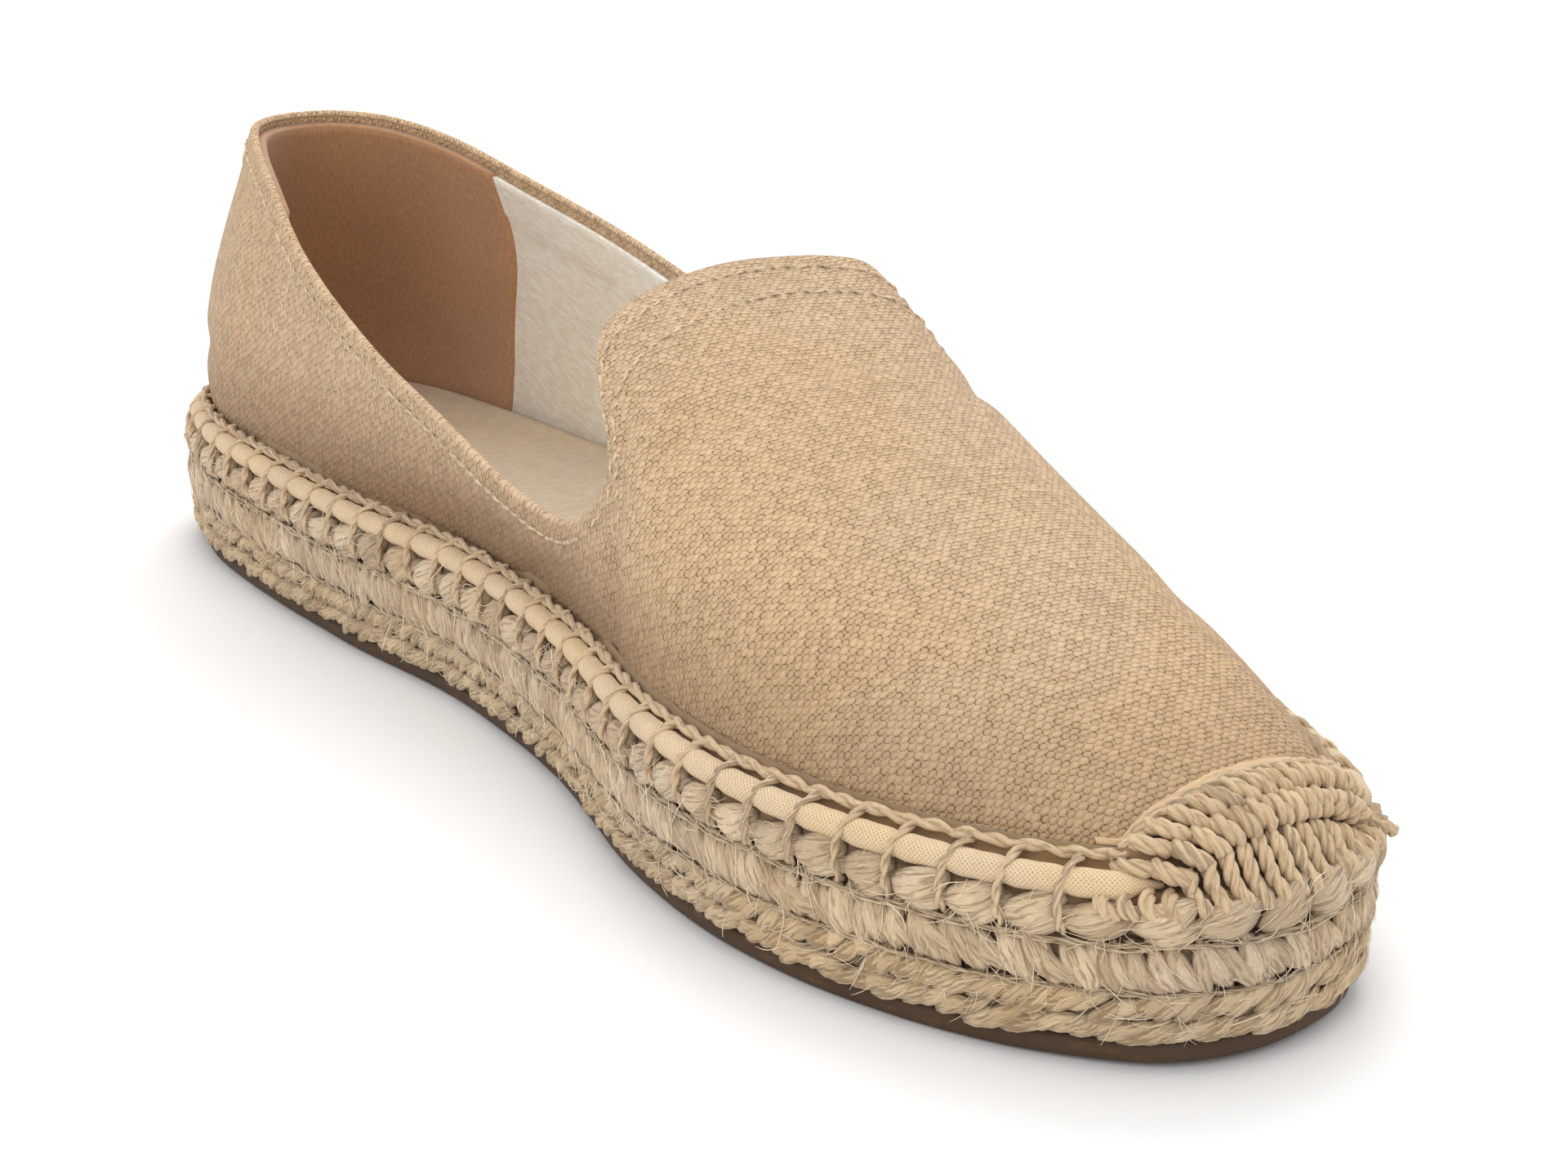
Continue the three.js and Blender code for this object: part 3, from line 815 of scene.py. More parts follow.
def rubber_material(colour):
    material, g, shader = start_material("Dark brown rubber", 0.62)
    place = g.add("ShaderNodeTexCoord").outputs["Object"]
    grain = g.noise(place, 1400.0, 3.0, 0.6)
    scuff = g.noise(g.scaled(place, (1.0, 1.0, 4.0)), 160.0, 4.0, 0.65)
    tone = g.mix(g.ramp(scuff, 0.52, 0.75), rgba(colour), tinted(colour, 1.7, -0.05))
    tone = use_group(g, "mottle", {"Colour": tone, "Amount": 0.2, "Grain": 70.0})["Colour"]
    g.tree.links.new(g.ramp(scuff, 0.4, 0.7, 0.55, 0.8), shader.inputs["Roughness"])
    parts = g.parts(place)
    saw_a = g.math("PINGPONG", g.math("ADD", parts[0], parts[1]), 0.0021)
    saw_b = g.math("PINGPONG", g.math("SUBTRACT", parts[0], parts[1]), 0.0021)
    tread = g.ramp(g.math("MINIMUM", saw_a, saw_b), 0.0001, 0.0005)
    under = g.math("LESS_THAN", parts[2], 0.0004)
    height = g.math("ADD", g.math("MULTIPLY", g.math("MULTIPLY", tread, under), 6.0), grain)
    finish_material(g, shader, tone, height, 0.12)
    return material


def cotton_material(name, colour):
    material, g, shader = start_material(name, 0.92, 0.1)
    place = uv_place(g)
    parts = g.parts(place)
    over = g.math("SINE", g.math("MULTIPLY", parts[0], 2 * math.pi / 0.42))
    along = g.math("SINE", g.math("MULTIPLY", parts[1], 2 * math.pi / 0.42))
    cloth_height = g.math("MULTIPLY", over, along)
    soft = g.noise(g.scaled(place, (0.3, 1.2, 0.0)), 1.0, 3.0, 0.6)
    cloth = g.mix(g.ramp(soft, 0.35, 0.7), tinted(colour, 0.92, 0.06), tinted(colour, 1.05, -0.03))
    cloth = g.mix(g.ramp(cloth_height, -0.1, -0.9, 0.0, 0.35), cloth, tinted(colour, 0.7, 0.1))
    cloth = use_group(g, "mottle", {"Colour": cloth, "Amount": 0.10, "Grain": 60.0})["Colour"]
    height = g.math("ADD", g.math("MULTIPLY", cloth_height, 0.25), soft)
    finish_material(g, shader, cloth, height, 0.18)
    return material


def heel_patch_material(colour):
    material, g, shader = start_material("Tan heel patch", 0.82, 0.3)
    place = uv_place(g)
    nap = g.noise(g.scaled(place, (1.6, 0.8, 0.0)), 1.0, 4.0, 0.65)
    fine = g.noise(place, 7.0, 2.0, 0.6)
    tone = g.mix(g.ramp(nap, 0.3, 0.7), tinted(colour, 0.88, 0.08), tinted(colour, 1.10, -0.05))
    tone = use_group(g, "mottle", {"Colour": tone, "Amount": 0.14, "Grain": 45.0})["Colour"]
    finish_material(g, shader, tone, g.math("ADD", nap, g.math("MULTIPLY", fine, 0.4)), 0.12)
    return material


# ---------------------------------------------------------------------------------------------
# Copies on points, by Geometry Nodes


def copies_tree():
    """Copies of a few shapes on points that carry turn, size and shade, made real."""
    tree = bpy.data.node_groups.new("Copies on points", "GeometryNodeTree")
    sockets = (
        ("Geometry", "INPUT", "NodeSocketGeometry"),
        ("Shapes", "INPUT", "NodeSocketCollection"),
        ("Uneven size", "INPUT", "NodeSocketFloat"),
        ("Uneven turn", "INPUT", "NodeSocketVector"),
        ("Seed", "INPUT", "NodeSocketInt"),
        ("Material", "INPUT", "NodeSocketMaterial"),
        ("Geometry", "OUTPUT", "NodeSocketGeometry"),
    )
    for label, way, kind in sockets:
        tree.interface.new_socket(label, in_out=way, socket_type=kind)
    g = Graph(tree)
    entry = tree.nodes.new("NodeGroupInput").outputs
    leave = tree.nodes.new("NodeGroupOutput")
    shapes = g.add("GeometryNodeCollectionInfo", {0: entry["Shapes"], 1: True, 2: True}).outputs[0]
    pick = g.add("FunctionNodeRandomValue", {5: 999, 8: entry["Seed"]}, data_type="INT").outputs[2]
    turn = g.add("GeometryNodeInputNamedAttribute", {0: "turn"}, data_type="FLOAT_VECTOR").outputs[0]
    size = g.add("GeometryNodeInputNamedAttribute", {0: "size"}, data_type="FLOAT_VECTOR").outputs[0]
    less = g.vector("MULTIPLY", entry["Uneven turn"], (-1.0, -1.0, -1.0))
    sway = g.add("FunctionNodeRandomValue", {0: less, 1: entry["Uneven turn"], 8: entry["Seed"]},
                 data_type="FLOAT_VECTOR").outputs[0]
    turn = g.add("FunctionNodeEulerToRotation", {0: turn}).outputs[0]
    sway = g.add("FunctionNodeEulerToRotation", {0: sway}).outputs[0]
    turned = g.add("FunctionNodeRotateRotation", {0: turn, 1: sway}, rotation_space="LOCAL").outputs[0]
    low = g.math("SUBTRACT", 1.0, entry["Uneven size"])
    high = g.math("ADD", 1.0, entry["Uneven size"])
    grow = g.add("FunctionNodeRandomValue", {2: low, 3: high, 8: entry["Seed"]}, data_type="FLOAT").outputs[1]
    scale = g.grown(size, grow)
    placed = g.add("GeometryNodeInstanceOnPoints", {"Points": entry["Geometry"], "Instance": shapes,
                                                    "Pick Instance": True, "Instance Index": pick,
                                                    "Rotation": turned, "Scale": scale}).outputs[0]
    real = g.add("GeometryNodeRealizeInstances", {0: placed}).outputs[0]
    for label in ("turn", "size"):
        real = g.add("GeometryNodeRemoveAttribute", {0: real, 1: label}).outputs[0]
    done = g.add("GeometryNodeSetMaterial", {"Geometry": real, "Material": entry["Material"]}).outputs[0]
    g.tree.links.new(done, leave.inputs[0])
    return tree


def copies(name, shapes, places, frames, sizes, shades, material, uneven_size, uneven_turn, seed):
    """Puts the shapes on the places (millimetres), each turned to its frame, as one plain mesh."""
    if "copies" not in GROUPS:
        GROUPS["copies"] = copies_tree()
    tree = GROUPS["copies"]
    shelf = bpy.data.collections.new(name + " shapes")
    for shape in shapes:
        shelf.objects.link(shape)
    piece = add_mesh(name, places, [], material=material)
    mesh = piece.data
    turns = [tuple(Matrix(np.asarray(f).T.tolist()).to_euler("XYZ")) for f in frames]
    for label, values in (("turn", turns), ("size", sizes)):
        attribute = mesh.attributes.new(label, "FLOAT_VECTOR", "POINT")
        attribute.data.foreach_set("vector", np.asarray(values, np.float32).ravel())
    mesh.attributes.new("shade", "FLOAT", "POINT").data.foreach_set("value", np.asarray(shades, np.float32))
    modifier = piece.modifiers.new("Copies", "NODES")
    modifier.node_group = tree
    values = {"Shapes": shelf, "Uneven size": uneven_size, "Uneven turn": uneven_turn, "Seed": seed,
              "Material": material}
    for item in tree.interface.items_tree:
        if item.in_out == "INPUT" and item.name in values:
            modifier[item.identifier] = values[item.name]
    bpy.context.view_layer.update()
    finished = piece.evaluated_get(bpy.context.evaluated_depsgraph_get())
    piece.data = bpy.data.meshes.new_from_object(finished)
    piece.modifiers.clear()
    piece.data.polygons.foreach_set("use_smooth", [True] * len(piece.data.polygons))
    for shape in shapes:
        bpy.data.objects.remove(shape)
    bpy.data.collections.remove(shelf)
    if not piece.data.polygons:
        raise RuntimeError(name + " came out empty")
    return piece


def shape_object(heap, name):
    """A shape for copies, in metres round its own origin and kept off the scene."""
    shape = heap.build(name, None, loose=True)
    shape.data.attributes.remove(shape.data.attributes["shade"])
    return shape


def edge_frames(around):
    """For places round the sole: running direction, up and outward, as three rows each."""
    _, out = SOLE.at(around)
    z = np.zeros(len(out))
    outward = np.stack([out[:, 0], out[:, 1], z], axis=-1)
    up = np.stack([z, z, z + 1.0], axis=-1)
    return np.stack([np.cross(up, outward), up, outward], axis=1)


def tilt_frames(frames, degrees):
    """The frames turned about their outward direction; positive lifts the running direction."""
    angle = np.radians(degrees)[:, None]
    run, up, out = frames[:, 0], frames[:, 1], frames[:, 2]
    ahead = run * np.cos(angle) + up * np.sin(angle)
    return np.stack([ahead, up * np.cos(angle) - run * np.sin(angle), out], 1)


def edge_place(around, offset, z):
    """Points round the sole edge at a height, following the toe spring."""
    flat, _ = SOLE.at(around, offset)
    return np.concatenate([flat, (np.asarray(z, float) + spring(flat[..., 1]))[..., None]], axis=-1)


def even_rounds(first, last, pitch):
    """Rounds from first to last, evenly pitched along the sole line."""
    fine = np.linspace(first, last, 4000)
    run = run_along(SOLE.at(fine)[0])
    count = max(1, round(run[-1] / pitch))
    return np.interp((np.arange(count) + 0.5) * run[-1] / count, run, fine)


# ---------------------------------------------------------------------------------------------
# Cloth pieces


class Pattern:
    """The upper laid flat as its maker would cut it, so that the weave runs true: millimetres."""

    def __init__(self, columns=201, rows=37):
        around, height = np.meshgrid(np.linspace(0, 2, columns), np.linspace(0, 1, rows), indexing="ij")
        points = upper_at(around, height)
        sheet = add_mesh("pattern", points, grid_faces(columns, rows), np.zeros((columns * rows, 2)))
        bpy.context.view_layer.objects.active = sheet
        sheet.select_set(True)
        bpy.ops.object.mode_set(mode="EDIT")
        bpy.ops.mesh.select_all(action="SELECT")
        bpy.ops.uv.unwrap(method="ANGLE_BASED", margin=0.0)
        bpy.ops.object.mode_set(mode="OBJECT")
        mesh = sheet.data
        corner = np.zeros(len(mesh.loops), np.int32)
        mesh.loops.foreach_get("vertex_index", corner)
        found = np.zeros(len(mesh.loops) * 2, np.float32)
        mesh.uv_layers[0].data.foreach_get("uv", found)
        flat = np.zeros((columns * rows, 2))
        flat[corner] = found.reshape(-1, 2)
        bpy.data.objects.remove(sheet)
        flat = flat.reshape(columns, rows, 2)
        middle, edge = columns // 2, rows - 1
        flat *= run_along(points[middle])[-1] / run_along(flat[middle])[-1]
        ahead = unit(flat[middle, 0] - flat[middle, edge])
        turned = np.array([[ahead[0], ahead[1]], [-ahead[1], ahead[0]]])
        self.flat = (flat - flat[middle, edge]) @ turned.T
        self.columns, self.rows = columns, rows

    def at(self, around, height):
        """Flat place for round (0 to 2) and height, carried on past the edges."""
        a = np.asarray(around, float) / 2.0 * (self.columns - 1)
        b = np.asarray(height, float) * (self.rows - 1)
        i = np.clip(np.floor(a).astype(int), 0, self.columns - 2)
        j = np.clip(np.floor(b).astype(int), 0, self.rows - 2)
        s, t = (a - i)[..., None], (b - j)[..., None]
        f = self.flat
        return ((1 - s) * (1 - t) * f[i, j] + s * (1 - t) * f[i + 1, j]
                + (1 - s) * t * f[i, j + 1] + s * t * f[i + 1, j + 1])


class TopLine:
    """Reads distances in millimetres below the top edge and above the sole line."""

    def __init__(self):
        self.around = np.linspace(0, 2, 401)
        self.height = np.linspace(0, 1, 201)
        grid = upper_at(*np.meshgrid(self.around, self.height, indexing="ij"))
        steps = np.linalg.norm(np.diff(grid, axis=1), axis=2)
        self.below = np.concatenate([np.cumsum(steps[:, ::-1], axis=1)[:, ::-1], np.zeros((401, 1))], axis=1)
        self.rise = grid[..., 2] - grid[:, :1, 2]

    def column(self, table, around):
        a = np.mod(around, 2.0) / 2.0 * 400
        i = np.minimum(a.astype(int), 399)
        return table[i] * (1 - (a - i))[..., None] + table[i + 1] * (a - i)[..., None]

    def height_below(self, around, distance):
        """Height of the place a distance below the top edge."""
        rows = self.column(self.below, np.asarray(around, float))
        distance = np.broadcast_to(distance, np.shape(around))
        return np.array([np.interp(-d, -row, self.height) for row, d in zip(rows, distance)])

    def height_above(self, around, rise):
        """Height of the place that much higher than the sole line."""
        rows = self.column(self.rise, np.asarray(around, float))
        rise = np.broadcast_to(rise, np.shape(around))
        return np.array([np.interp(r, row, self.height) for row, r in zip(rows, rise)])

    def distance(self, around, height):
        rows = self.column(self.below, np.asarray(around, float))
        return np.array([np.interp(h, self.height, row) for row, h in zip(rows, height)])


TOP = TopLine()
TOE = ToePatch((0.0, 3.9, 7.4))
MADE = {}


def flat_pattern():
    if "pattern" not in MADE:
        MADE["pattern"] = Pattern()
    return MADE["pattern"]


def ring_piece(name, points, uv, material, shade=None):
    """A closed shell from rows of points that each run once round; uv has one more column than points."""
    rows, columns = points.shape[:2]
    faces = grid_faces(rows, columns, wrap_columns=True, wrap_rows=True)
    piece = add_mesh(name, points, faces, shade=shade, material=material)
    r, c = np.meshgrid(np.arange(rows), np.arange(columns), indexing="ij")
    up = (r + 1) % rows
    corners = np.stack([uv[r, c], uv[r, c + 1], uv[up, c + 1], uv[up, c]], axis=2)
    layer = piece.data.uv_layers.new(name="UVMap")
    layer.data.foreach_set("uv", corners.astype(np.float32).ravel())
    return piece


def sheet_piece(name, outer, inner, uv, material):
    """A closed thick sheet between two grids of points, outer facing out."""
    rows, columns = outer.shape[:2]
    count = rows * columns
    points = np.concatenate([outer.reshape(-1, 3), inner.reshape(-1, 3)])
    faces = grid_faces(rows, columns).tolist()
    faces += (grid_faces(rows, columns, flip=True) + count).tolist()
    rim = [(0, c) for c in range(columns)] + [(r, columns - 1) for r in range(1, rows)]
    rim += [(rows - 1, c) for c in range(columns - 2, -1, -1)] + [(r, 0) for r in range(rows - 2, 0, -1)]
    index = [r * columns + c for r, c in rim]
    for a, b in zip(index, index[1:] + index[:1]):
        faces.append([b, a, a + count, b + count])
    return add_mesh(name, points, faces, np.concatenate([uv.reshape(-1, 2)] * 2), material=material)


def hem_depth(around):
    """How far the turned hem reaches below the top edge: deep on the tab, narrow round the heel."""
    tab = smooth((around - 0.55) / 0.08) * smooth((1.45 - around) / 0.08)
    return 5.0 + 6.5 * tab


def make_canvas(sizes, material):
    columns, rows = 480, 88
    around = np.arange(columns + 1) * 2.0 / columns
    heights = np.linspace(0.0, 1.0, rows)
    r, h = np.meshgrid(around, heights, indexing="xy")
    below = TOP.distance(around, np.broadcast_to(heights, (columns + 1, rows))).T
    hem = 0.32 * (1.0 - smooth((below - hem_depth(r)) / 1.2))
    foot = smooth(h / 0.06)
    relief = crease_relief(r, h) + 0.16 * slow_wave(r, h, 4)
    relief = relief * foot * smooth(below / 3.0) + hem * foot
    outer = upper_offset(r, h, relief)
    wall = sizes.canvas_wall
    normal = upper_normal(around, np.ones(columns + 1))
    climb = unit(upper_at(around, 1.0) - upper_at(around, 0.985))
    half = (wall + 0.32) / 2
    roll = []
    for angle in np.linspace(0.0, math.pi, 8)[1:-1]:
        roll.append(outer[-1] + normal * (half * (math.cos(angle) - 1)) + climb * (half * math.sin(angle)))
    roll = np.array(roll)
    inside = heights[::-1][np.r_[0:12, 14:rows:4]]
    inside[-1] = 0.0
    ri, hi = np.meshgrid(around, inside, indexing="xy")
    inner = upper_offset(ri, hi, -wall)
    inner[0] = outer[-1] - normal * 2 * half
    points = np.concatenate([outer, roll, inner])
    past = np.linspace(1.0, 1.03, 8)[1:-1]
    uv_height = np.concatenate([heights, past, inside])
    ru, hu = np.meshgrid(around, uv_height, indexing="xy")
    uv = flat_pattern().at(ru, hu)
    # Painted shade: the canvas is darkened near the sole, most at the waist, for the shade that falls there;
    # its inside is left as it is.
    from_toe = clamp((np.abs(np.mod(around, 2.0) - 1.0) - 0.15) / 0.85)
    waist = 0.5 + 0.5 * np.cos(math.pi * from_toe * 2.0 + math.pi)
    painted_shade_depth = (0.44 + 0.55 * waist) * (1.0 - smooth((outer[..., 2] - BASE_Z - 3.0) / 22.0))
    shade = np.ones(points.shape[:2])
    shade[:len(heights)] -= painted_shade_depth
    piece = ring_piece("upper_canvas", points[:, :-1], uv, material, shade[:, :-1])
    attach(piece, "root")
    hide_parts("upper")
    return piece


def make_lining(sizes, material):
    columns = 300
    around = np.arange(columns + 1) * 2.0 / columns
    share = np.linspace(0.0, 1.0, 40)
    top = TOP.height_below(around, 1.6)
    heights = share[:, None] * top[None, :]
    r = np.broadcast_to(around, heights.shape)
    below = TOP.distance(around, heights.T).T
    hem = 0.35 * (1.0 - smooth((below - 8.5) / 0.7))
    back = upper_offset(r, heights, -sizes.canvas_wall - 0.05)
    face = upper_offset(r, heights, -sizes.canvas_wall - 0.6 - hem - 0.1 * slow_wave(r, heights, 9))
    points = np.concatenate([back, face[::-1]])
    uv = np.concatenate([flat_pattern().at(r, heights), flat_pattern().at(r, heights)[::-1]])
    piece = ring_piece("lining", points[:, :-1], uv, material)
    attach(piece, "root")


def patch_reach(height):
    """Round at which the heel patch ends in front, bowed forward near the top and the foot."""
    place = np.linspace(0.0, 0.4, 161)
    target_z = np.array([22.0, 37.0, 45.0, 53.0, 64.0, 76.0])
    target_y = np.array([86.5, 84.5, 82.0, 79.5, 81.5, 85.0])
    found = []
    for h in height:
        column = upper_at(place, np.full(161, h))
        ahead = column[:, 1] < np.interp(column[:, 2], target_z, target_y)
        found.append(place[np.argmax(ahead)] if ahead.any() else 0.2)
    return smooth_row(np.array(found), 5)


def smooth_row(values, width):
    padded = np.pad(values, width, mode="edge")
    return np.convolve(padded, np.ones(2 * width + 1) / (2 * width + 1), mode="valid")


def make_heel_patch(sizes, material):
    rows, columns = 46, 90
    share = np.linspace(0.0, 1.0, rows)
    reach = patch_reach(share)
    side = np.linspace(-1.0, 1.0, columns)
    r = reach[:, None] * side[None, :]
    top = TOP.height_below(np.mod(r, 2.0).ravel(), 1.0).reshape(r.shape)
    heights = share[:, None] * top
    rim = np.minimum(1 - np.abs(side)[None, :], 1.0) * reach[:, None] * 300.0
    thick = 0.75 * smooth(rim / 1.2) + 0.12
    deep = -sizes.canvas_wall - 0.7
    over_lining = np.where(np.arange(rows) == rows - 1, 0.68, 0.2)[:, None]
    back = upper_offset(r, heights, deep + over_lining)
    face = upper_offset(r, heights, deep - thick - 0.12 * slow_wave(r, heights, 5))
    uv = np.stack([r * 300.0, heights * 55.0], axis=-1)
    piece = sheet_piece("heel_patch", back, face, uv, material)
    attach(piece, "root")


def slab_piece(name, levels, material, columns=400, wave=0.0, seed=3):
    """A filled slab of the sole outline from levels of (z, offset), bottom first."""
    around = np.arange(columns) * 2.0 / columns
    uneven = slow_wave(around * 2.0, 0.0, seed) * wave
    rows = [edge_place(around, offset + uneven, z) for z, offset in levels]
    points = np.concatenate(rows)
    count = len(levels)
    faces = grid_faces(count, columns, wrap_columns=True).tolist()
    for start, upward in ((0, False), ((count - 1) * columns, True)):
        for i in range(columns // 2):
            quad = [start + i, start + i + 1, start + columns - i - 1, start + (columns - i) % columns]
            quad = list(dict.fromkeys(quad))
            faces.append(quad if upward else quad[::-1])
    run = SOLE.distance(around)
    uv = np.concatenate([np.stack([run, np.full(columns, z)], axis=-1) for z, _ in levels])
    return add_mesh(name, points, faces, uv, np.full(len(points), 0.35), material)


def make_insole(material):
    count, across = 170, 56
    inner = np.linspace(0.0, 1.0, count)
    side = np.linspace(0.0, 1.0, across)
    left = edge_place(inner, np.full(count, -7.9), np.full(count, 0.0))
    right = edge_place(2.0 - inner, np.full(count, -7.9), np.full(count, 0.0))
    flat = left[:, None, :] * (1 - side)[None, :, None] + right[:, None, :] * side[None, :, None]
    width = np.linalg.norm(right - left, axis=1)[:, None]
    rim = np.minimum(side, 1 - side)[None, :] * width
    rim = np.minimum(rim, np.minimum(inner, 1 - inner)[:, None] * 280.0)
    y = flat[..., 1]
    tread = np.exp(-((y - 88.0) / 34.0) ** 2) * 0.5 + np.exp(-((y + 62.0) / 34.0) ** 2) * 0.45
    crown = 1.7 + 0.5 * smooth(rim / 2.0) - tread * smooth(rim / 14.0)
    upper_face = flat + np.stack([0 * y, 0 * y, BASE_Z + crown], axis=-1)
    under_face = flat + np.stack([0 * y, 0 * y, BASE_Z + 0.0 * y], axis=-1)
    uv = flat[..., :2]
    piece = sheet_piece("insole_cover", upper_face[:, ::-1], under_face[:, ::-1], uv[:, ::-1], material)
    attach(piece, "root")
    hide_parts("insole")


# ---------------------------------------------------------------------------------------------
# Edge of the upper: tape, cord and blanket stitches


def stitch_pinch(around, places, reach):
    """1 at each blanket stitch, fading within reach millimetres along the sole line."""
    run = SOLE.distance(around)
    marks = np.sort(SOLE.distance(places))
    gap = np.abs(run[..., None] - marks)
    gap = np.minimum(gap, SOLE.total - gap).min(axis=-1)
    return np.exp(-((gap / reach) ** 2)), gap


def make_tape(sizes, stitches, material):
    """Folded tape round the foot of the canvas: a thin flap up behind the cord and a round bead below."""
    columns = 1500
    around = np.linspace(TOE.last - TAPE_PAST_TOE, 2.0 + TOE.first + TAPE_PAST_TOE, columns)
    pinch, gap = stitch_pinch(around, stitches, 1.0)
    swell = 1.0 + 0.03 * np.sin(math.pi * clamp(gap / STITCH_HALF)) - 0.11 * pinch
    swell += 0.03 * slow_wave(around * 3, 0.3, 8)
    ends = np.minimum(around - around[0], around[-1] - around)
    tuck = 1.0 - smooth(ends / 0.020)
    radius = sizes.bead_radius * swell * (1.0 - 0.75 * tuck)
    middle_out = -sizes.bead_inset - 1.6 * tuck
    middle_up = sizes.bead_rise - 0.3 * tuck
    bead = []
    for angle in np.radians(np.linspace(118.0, -150.0, 20)):
        bead.append((middle_out + radius * math.cos(angle), middle_up + radius * math.sin(angle)))
    flap_in = -UPPER_INSET + 0.1
    front = [(flap_in + 0.25, 4.6), (flap_in + 0.3, 2.4), (flap_in + 0.9, 1.2)]
    behind = [(flap_in, 0.05), (flap_in - 0.2, 3.0), (flap_in + 0.05, 4.7)]
    points = np.array([edge_place(around, reach, BASE_Z + rise) for reach, rise in front + bead + behind])
    v = run_along(points[:, columns // 2])
    u = SOLE.distance(TOE.last) + run_along(points[6])
    uv = np.stack(np.broadcast_arrays(u[None, :], v[:, None]), axis=-1)
    count, width = points.shape[:2]
    faces = grid_faces(count, width, wrap_rows=True, flip=True).tolist()
    faces.append([r * width for r in range(count)][::-1])
    faces.append([r * width + width - 1 for r in range(count)])
    piece = add_mesh("edge_tape", points, faces, uv.reshape(-1, 2), material=material)
    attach(piece, "root")
    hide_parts("edge_piping")


def cord_path(around, rise, lift):
    """Path on the canvas that much above the sole line, standing off its face."""
    height = TOP.height_above(around, rise)
    return upper_offset(around, height, lift)


def make_cord(sizes, stitches, material):
    """Long twisted cord that runs round the foot of the canvas and over the toe."""
    heap = Heap()
    around = np.linspace(TOE.last, 2.0 + TOE.first, 760)
    pinch, gap = stitch_pinch(around, stitches, 1.3)
    rise = sizes.cord_rise + 0.14 * np.sin(math.pi * clamp(gap / STITCH_HALF)) - 0.26 * pinch
    path = cord_path(around, rise, sizes.cord_lift - 0.15 * pinch)
    add_thread(heap, path, sizes.cord_radius, 2, 8.5, 7, 0.62)
    along, height = TOE.lines[0]
    fine = np.linspace(along[0], along[-1], 90)
    low = TOP.height_above(fine, sizes.cord_rise)
    height = np.maximum(np.interp(fine, along, height), low)
    path = upper_offset(fine, height, 1.0)
    add_thread(heap, path, sizes.cord_radius * 1.15, 2, 5.5, 7, 0.6)
    piece = heap.build("edge_cord", material)
    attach(piece, "root")


def stitch_path(variant):
    """Path of one blanket stitch round its own mark: along, up, out in millimetres."""
    rng = np.random.default_rng(40 + variant)
    knots = np.array([
        (1.30, 3.30, -3.70),
        (1.05, 3.45, -2.80),
        (0.50, 3.05, -1.75),
        (-0.05, 2.10, -0.45),
        (-0.35, 0.60, 0.40),
        (-0.42, -1.10, 0.62),
        (-0.32, -2.70, 1.15),
        (-0.05, -4.30, 0.90),
        (0.25, -5.60, -0.20),
    ])
    knots[:, 0] += rng.normal(0, 0.12, len(knots)) + rng.normal(0, 0.25) * np.linspace(-1, 1, len(knots))
    knots[-2:, 1] += rng.normal(0, 0.35)
    t = np.linspace(0, len(knots) - 1, 17)
    path = np.stack([np.interp(t, np.arange(len(knots)), knots[:, k]) for k in range(3)], axis=-1)
    for _ in range(2):
        path[1:-1] = (path[:-2] + 2 * path[1:-1] + path[2:]) / 4
    return path


def make_blanket_stitches(sizes, stitches, material):
    shapes = []
    for variant in range(7):
        heap = Heap()
        add_thread(heap, stitch_path(variant), sizes.stitch_radius, 2, 5.2, 7, 0.6, phase=variant * 0.9,
                   lean=(1.0, 0.0, 0.0), uv_start=variant * 11.0)
        shapes.append(shape_object(heap, f"blanket stitch {variant}"))
    rng = np.random.default_rng(12)
    places = edge_place(stitches, np.zeros(len(stitches)), np.full(len(stitches), BASE_Z))
    piece = copies("blanket_stitches", shapes, places, edge_frames(stitches), np.ones((len(stitches), 3)),
                   rng.uniform(0.35, 0.85, len(stitches)), material, 0.0, (0.0, 0.0, 0.05), 5)
    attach(piece, "root")


def top_row(around_first, around_last, below, pitch):
    """Evenly pitched places a distance below the top edge, with their frames."""
    fine = np.linspace(around_first, around_last, 1200)
    path = upper_offset(fine, TOP.height_below(np.mod(fine, 2.0), below), 0.0)
    run = run_along(path)
    count = int(run[-1] / pitch)
    around = np.interp((np.arange(count) + 0.5) * run[-1] / count, run, fine)
    height = TOP.height_below(np.mod(around, 2.0), below)
    lift = crease_relief(np.mod(around, 2.0), height) * smooth(below / 3.0) + 0.32
    place = upper_offset(around, height, lift)
    ahead = upper_at(around + 0.002, TOP.height_below(np.mod(around + 0.002, 2.0), below))
    behind = upper_at(around - 0.002, TOP.height_below(np.mod(around - 0.002, 2.0), below))
    run_way = unit(ahead - behind)
    out = upper_normal(around, height)
    out = unit(out - run_way * (out * run_way).sum(axis=1, keepdims=True))
    return place, np.stack([run_way, np.cross(out, run_way), out], axis=1)


def make_top_stitches(sizes, material):
    shapes = []
    for variant in range(4):
        heap = Heap()
        t = np.linspace(-1.0, 1.0, 7)
        path = np.stack([t * 1.15, 0.05 * np.sin(3 * t + variant), 0.20 - 0.42 * t**2], axis=-1)
        add_thread(heap, path, 0.29, 2, 2.6, 5, 0.6, phase=variant, lean=(0.0, 1.0, 0.0),
                   uv_start=variant * 7.0)
        shapes.append(shape_object(heap, f"top stitch {variant}"))
    rows = [
        top_row(0.575, 1.425, 2.8, sizes.top_pitch),
        top_row(0.62, 1.38, 9.6, sizes.top_pitch),
        top_row(1.445, 2.555, 2.4, sizes.top_pitch),
    ]
    places = np.concatenate([row[0] for row in rows])
    frames = np.concatenate([row[1] for row in rows])
    rng = np.random.default_rng(21)
    piece = copies("top_line_stitches", shapes, places, frames, np.ones((len(places), 3)),
                   rng.uniform(0.5, 1.0, len(places)), material, 0.10, (0.0, 0.0, 0.07), 9)
    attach(piece, "root")


# ---------------------------------------------------------------------------------------------
# Toe thread


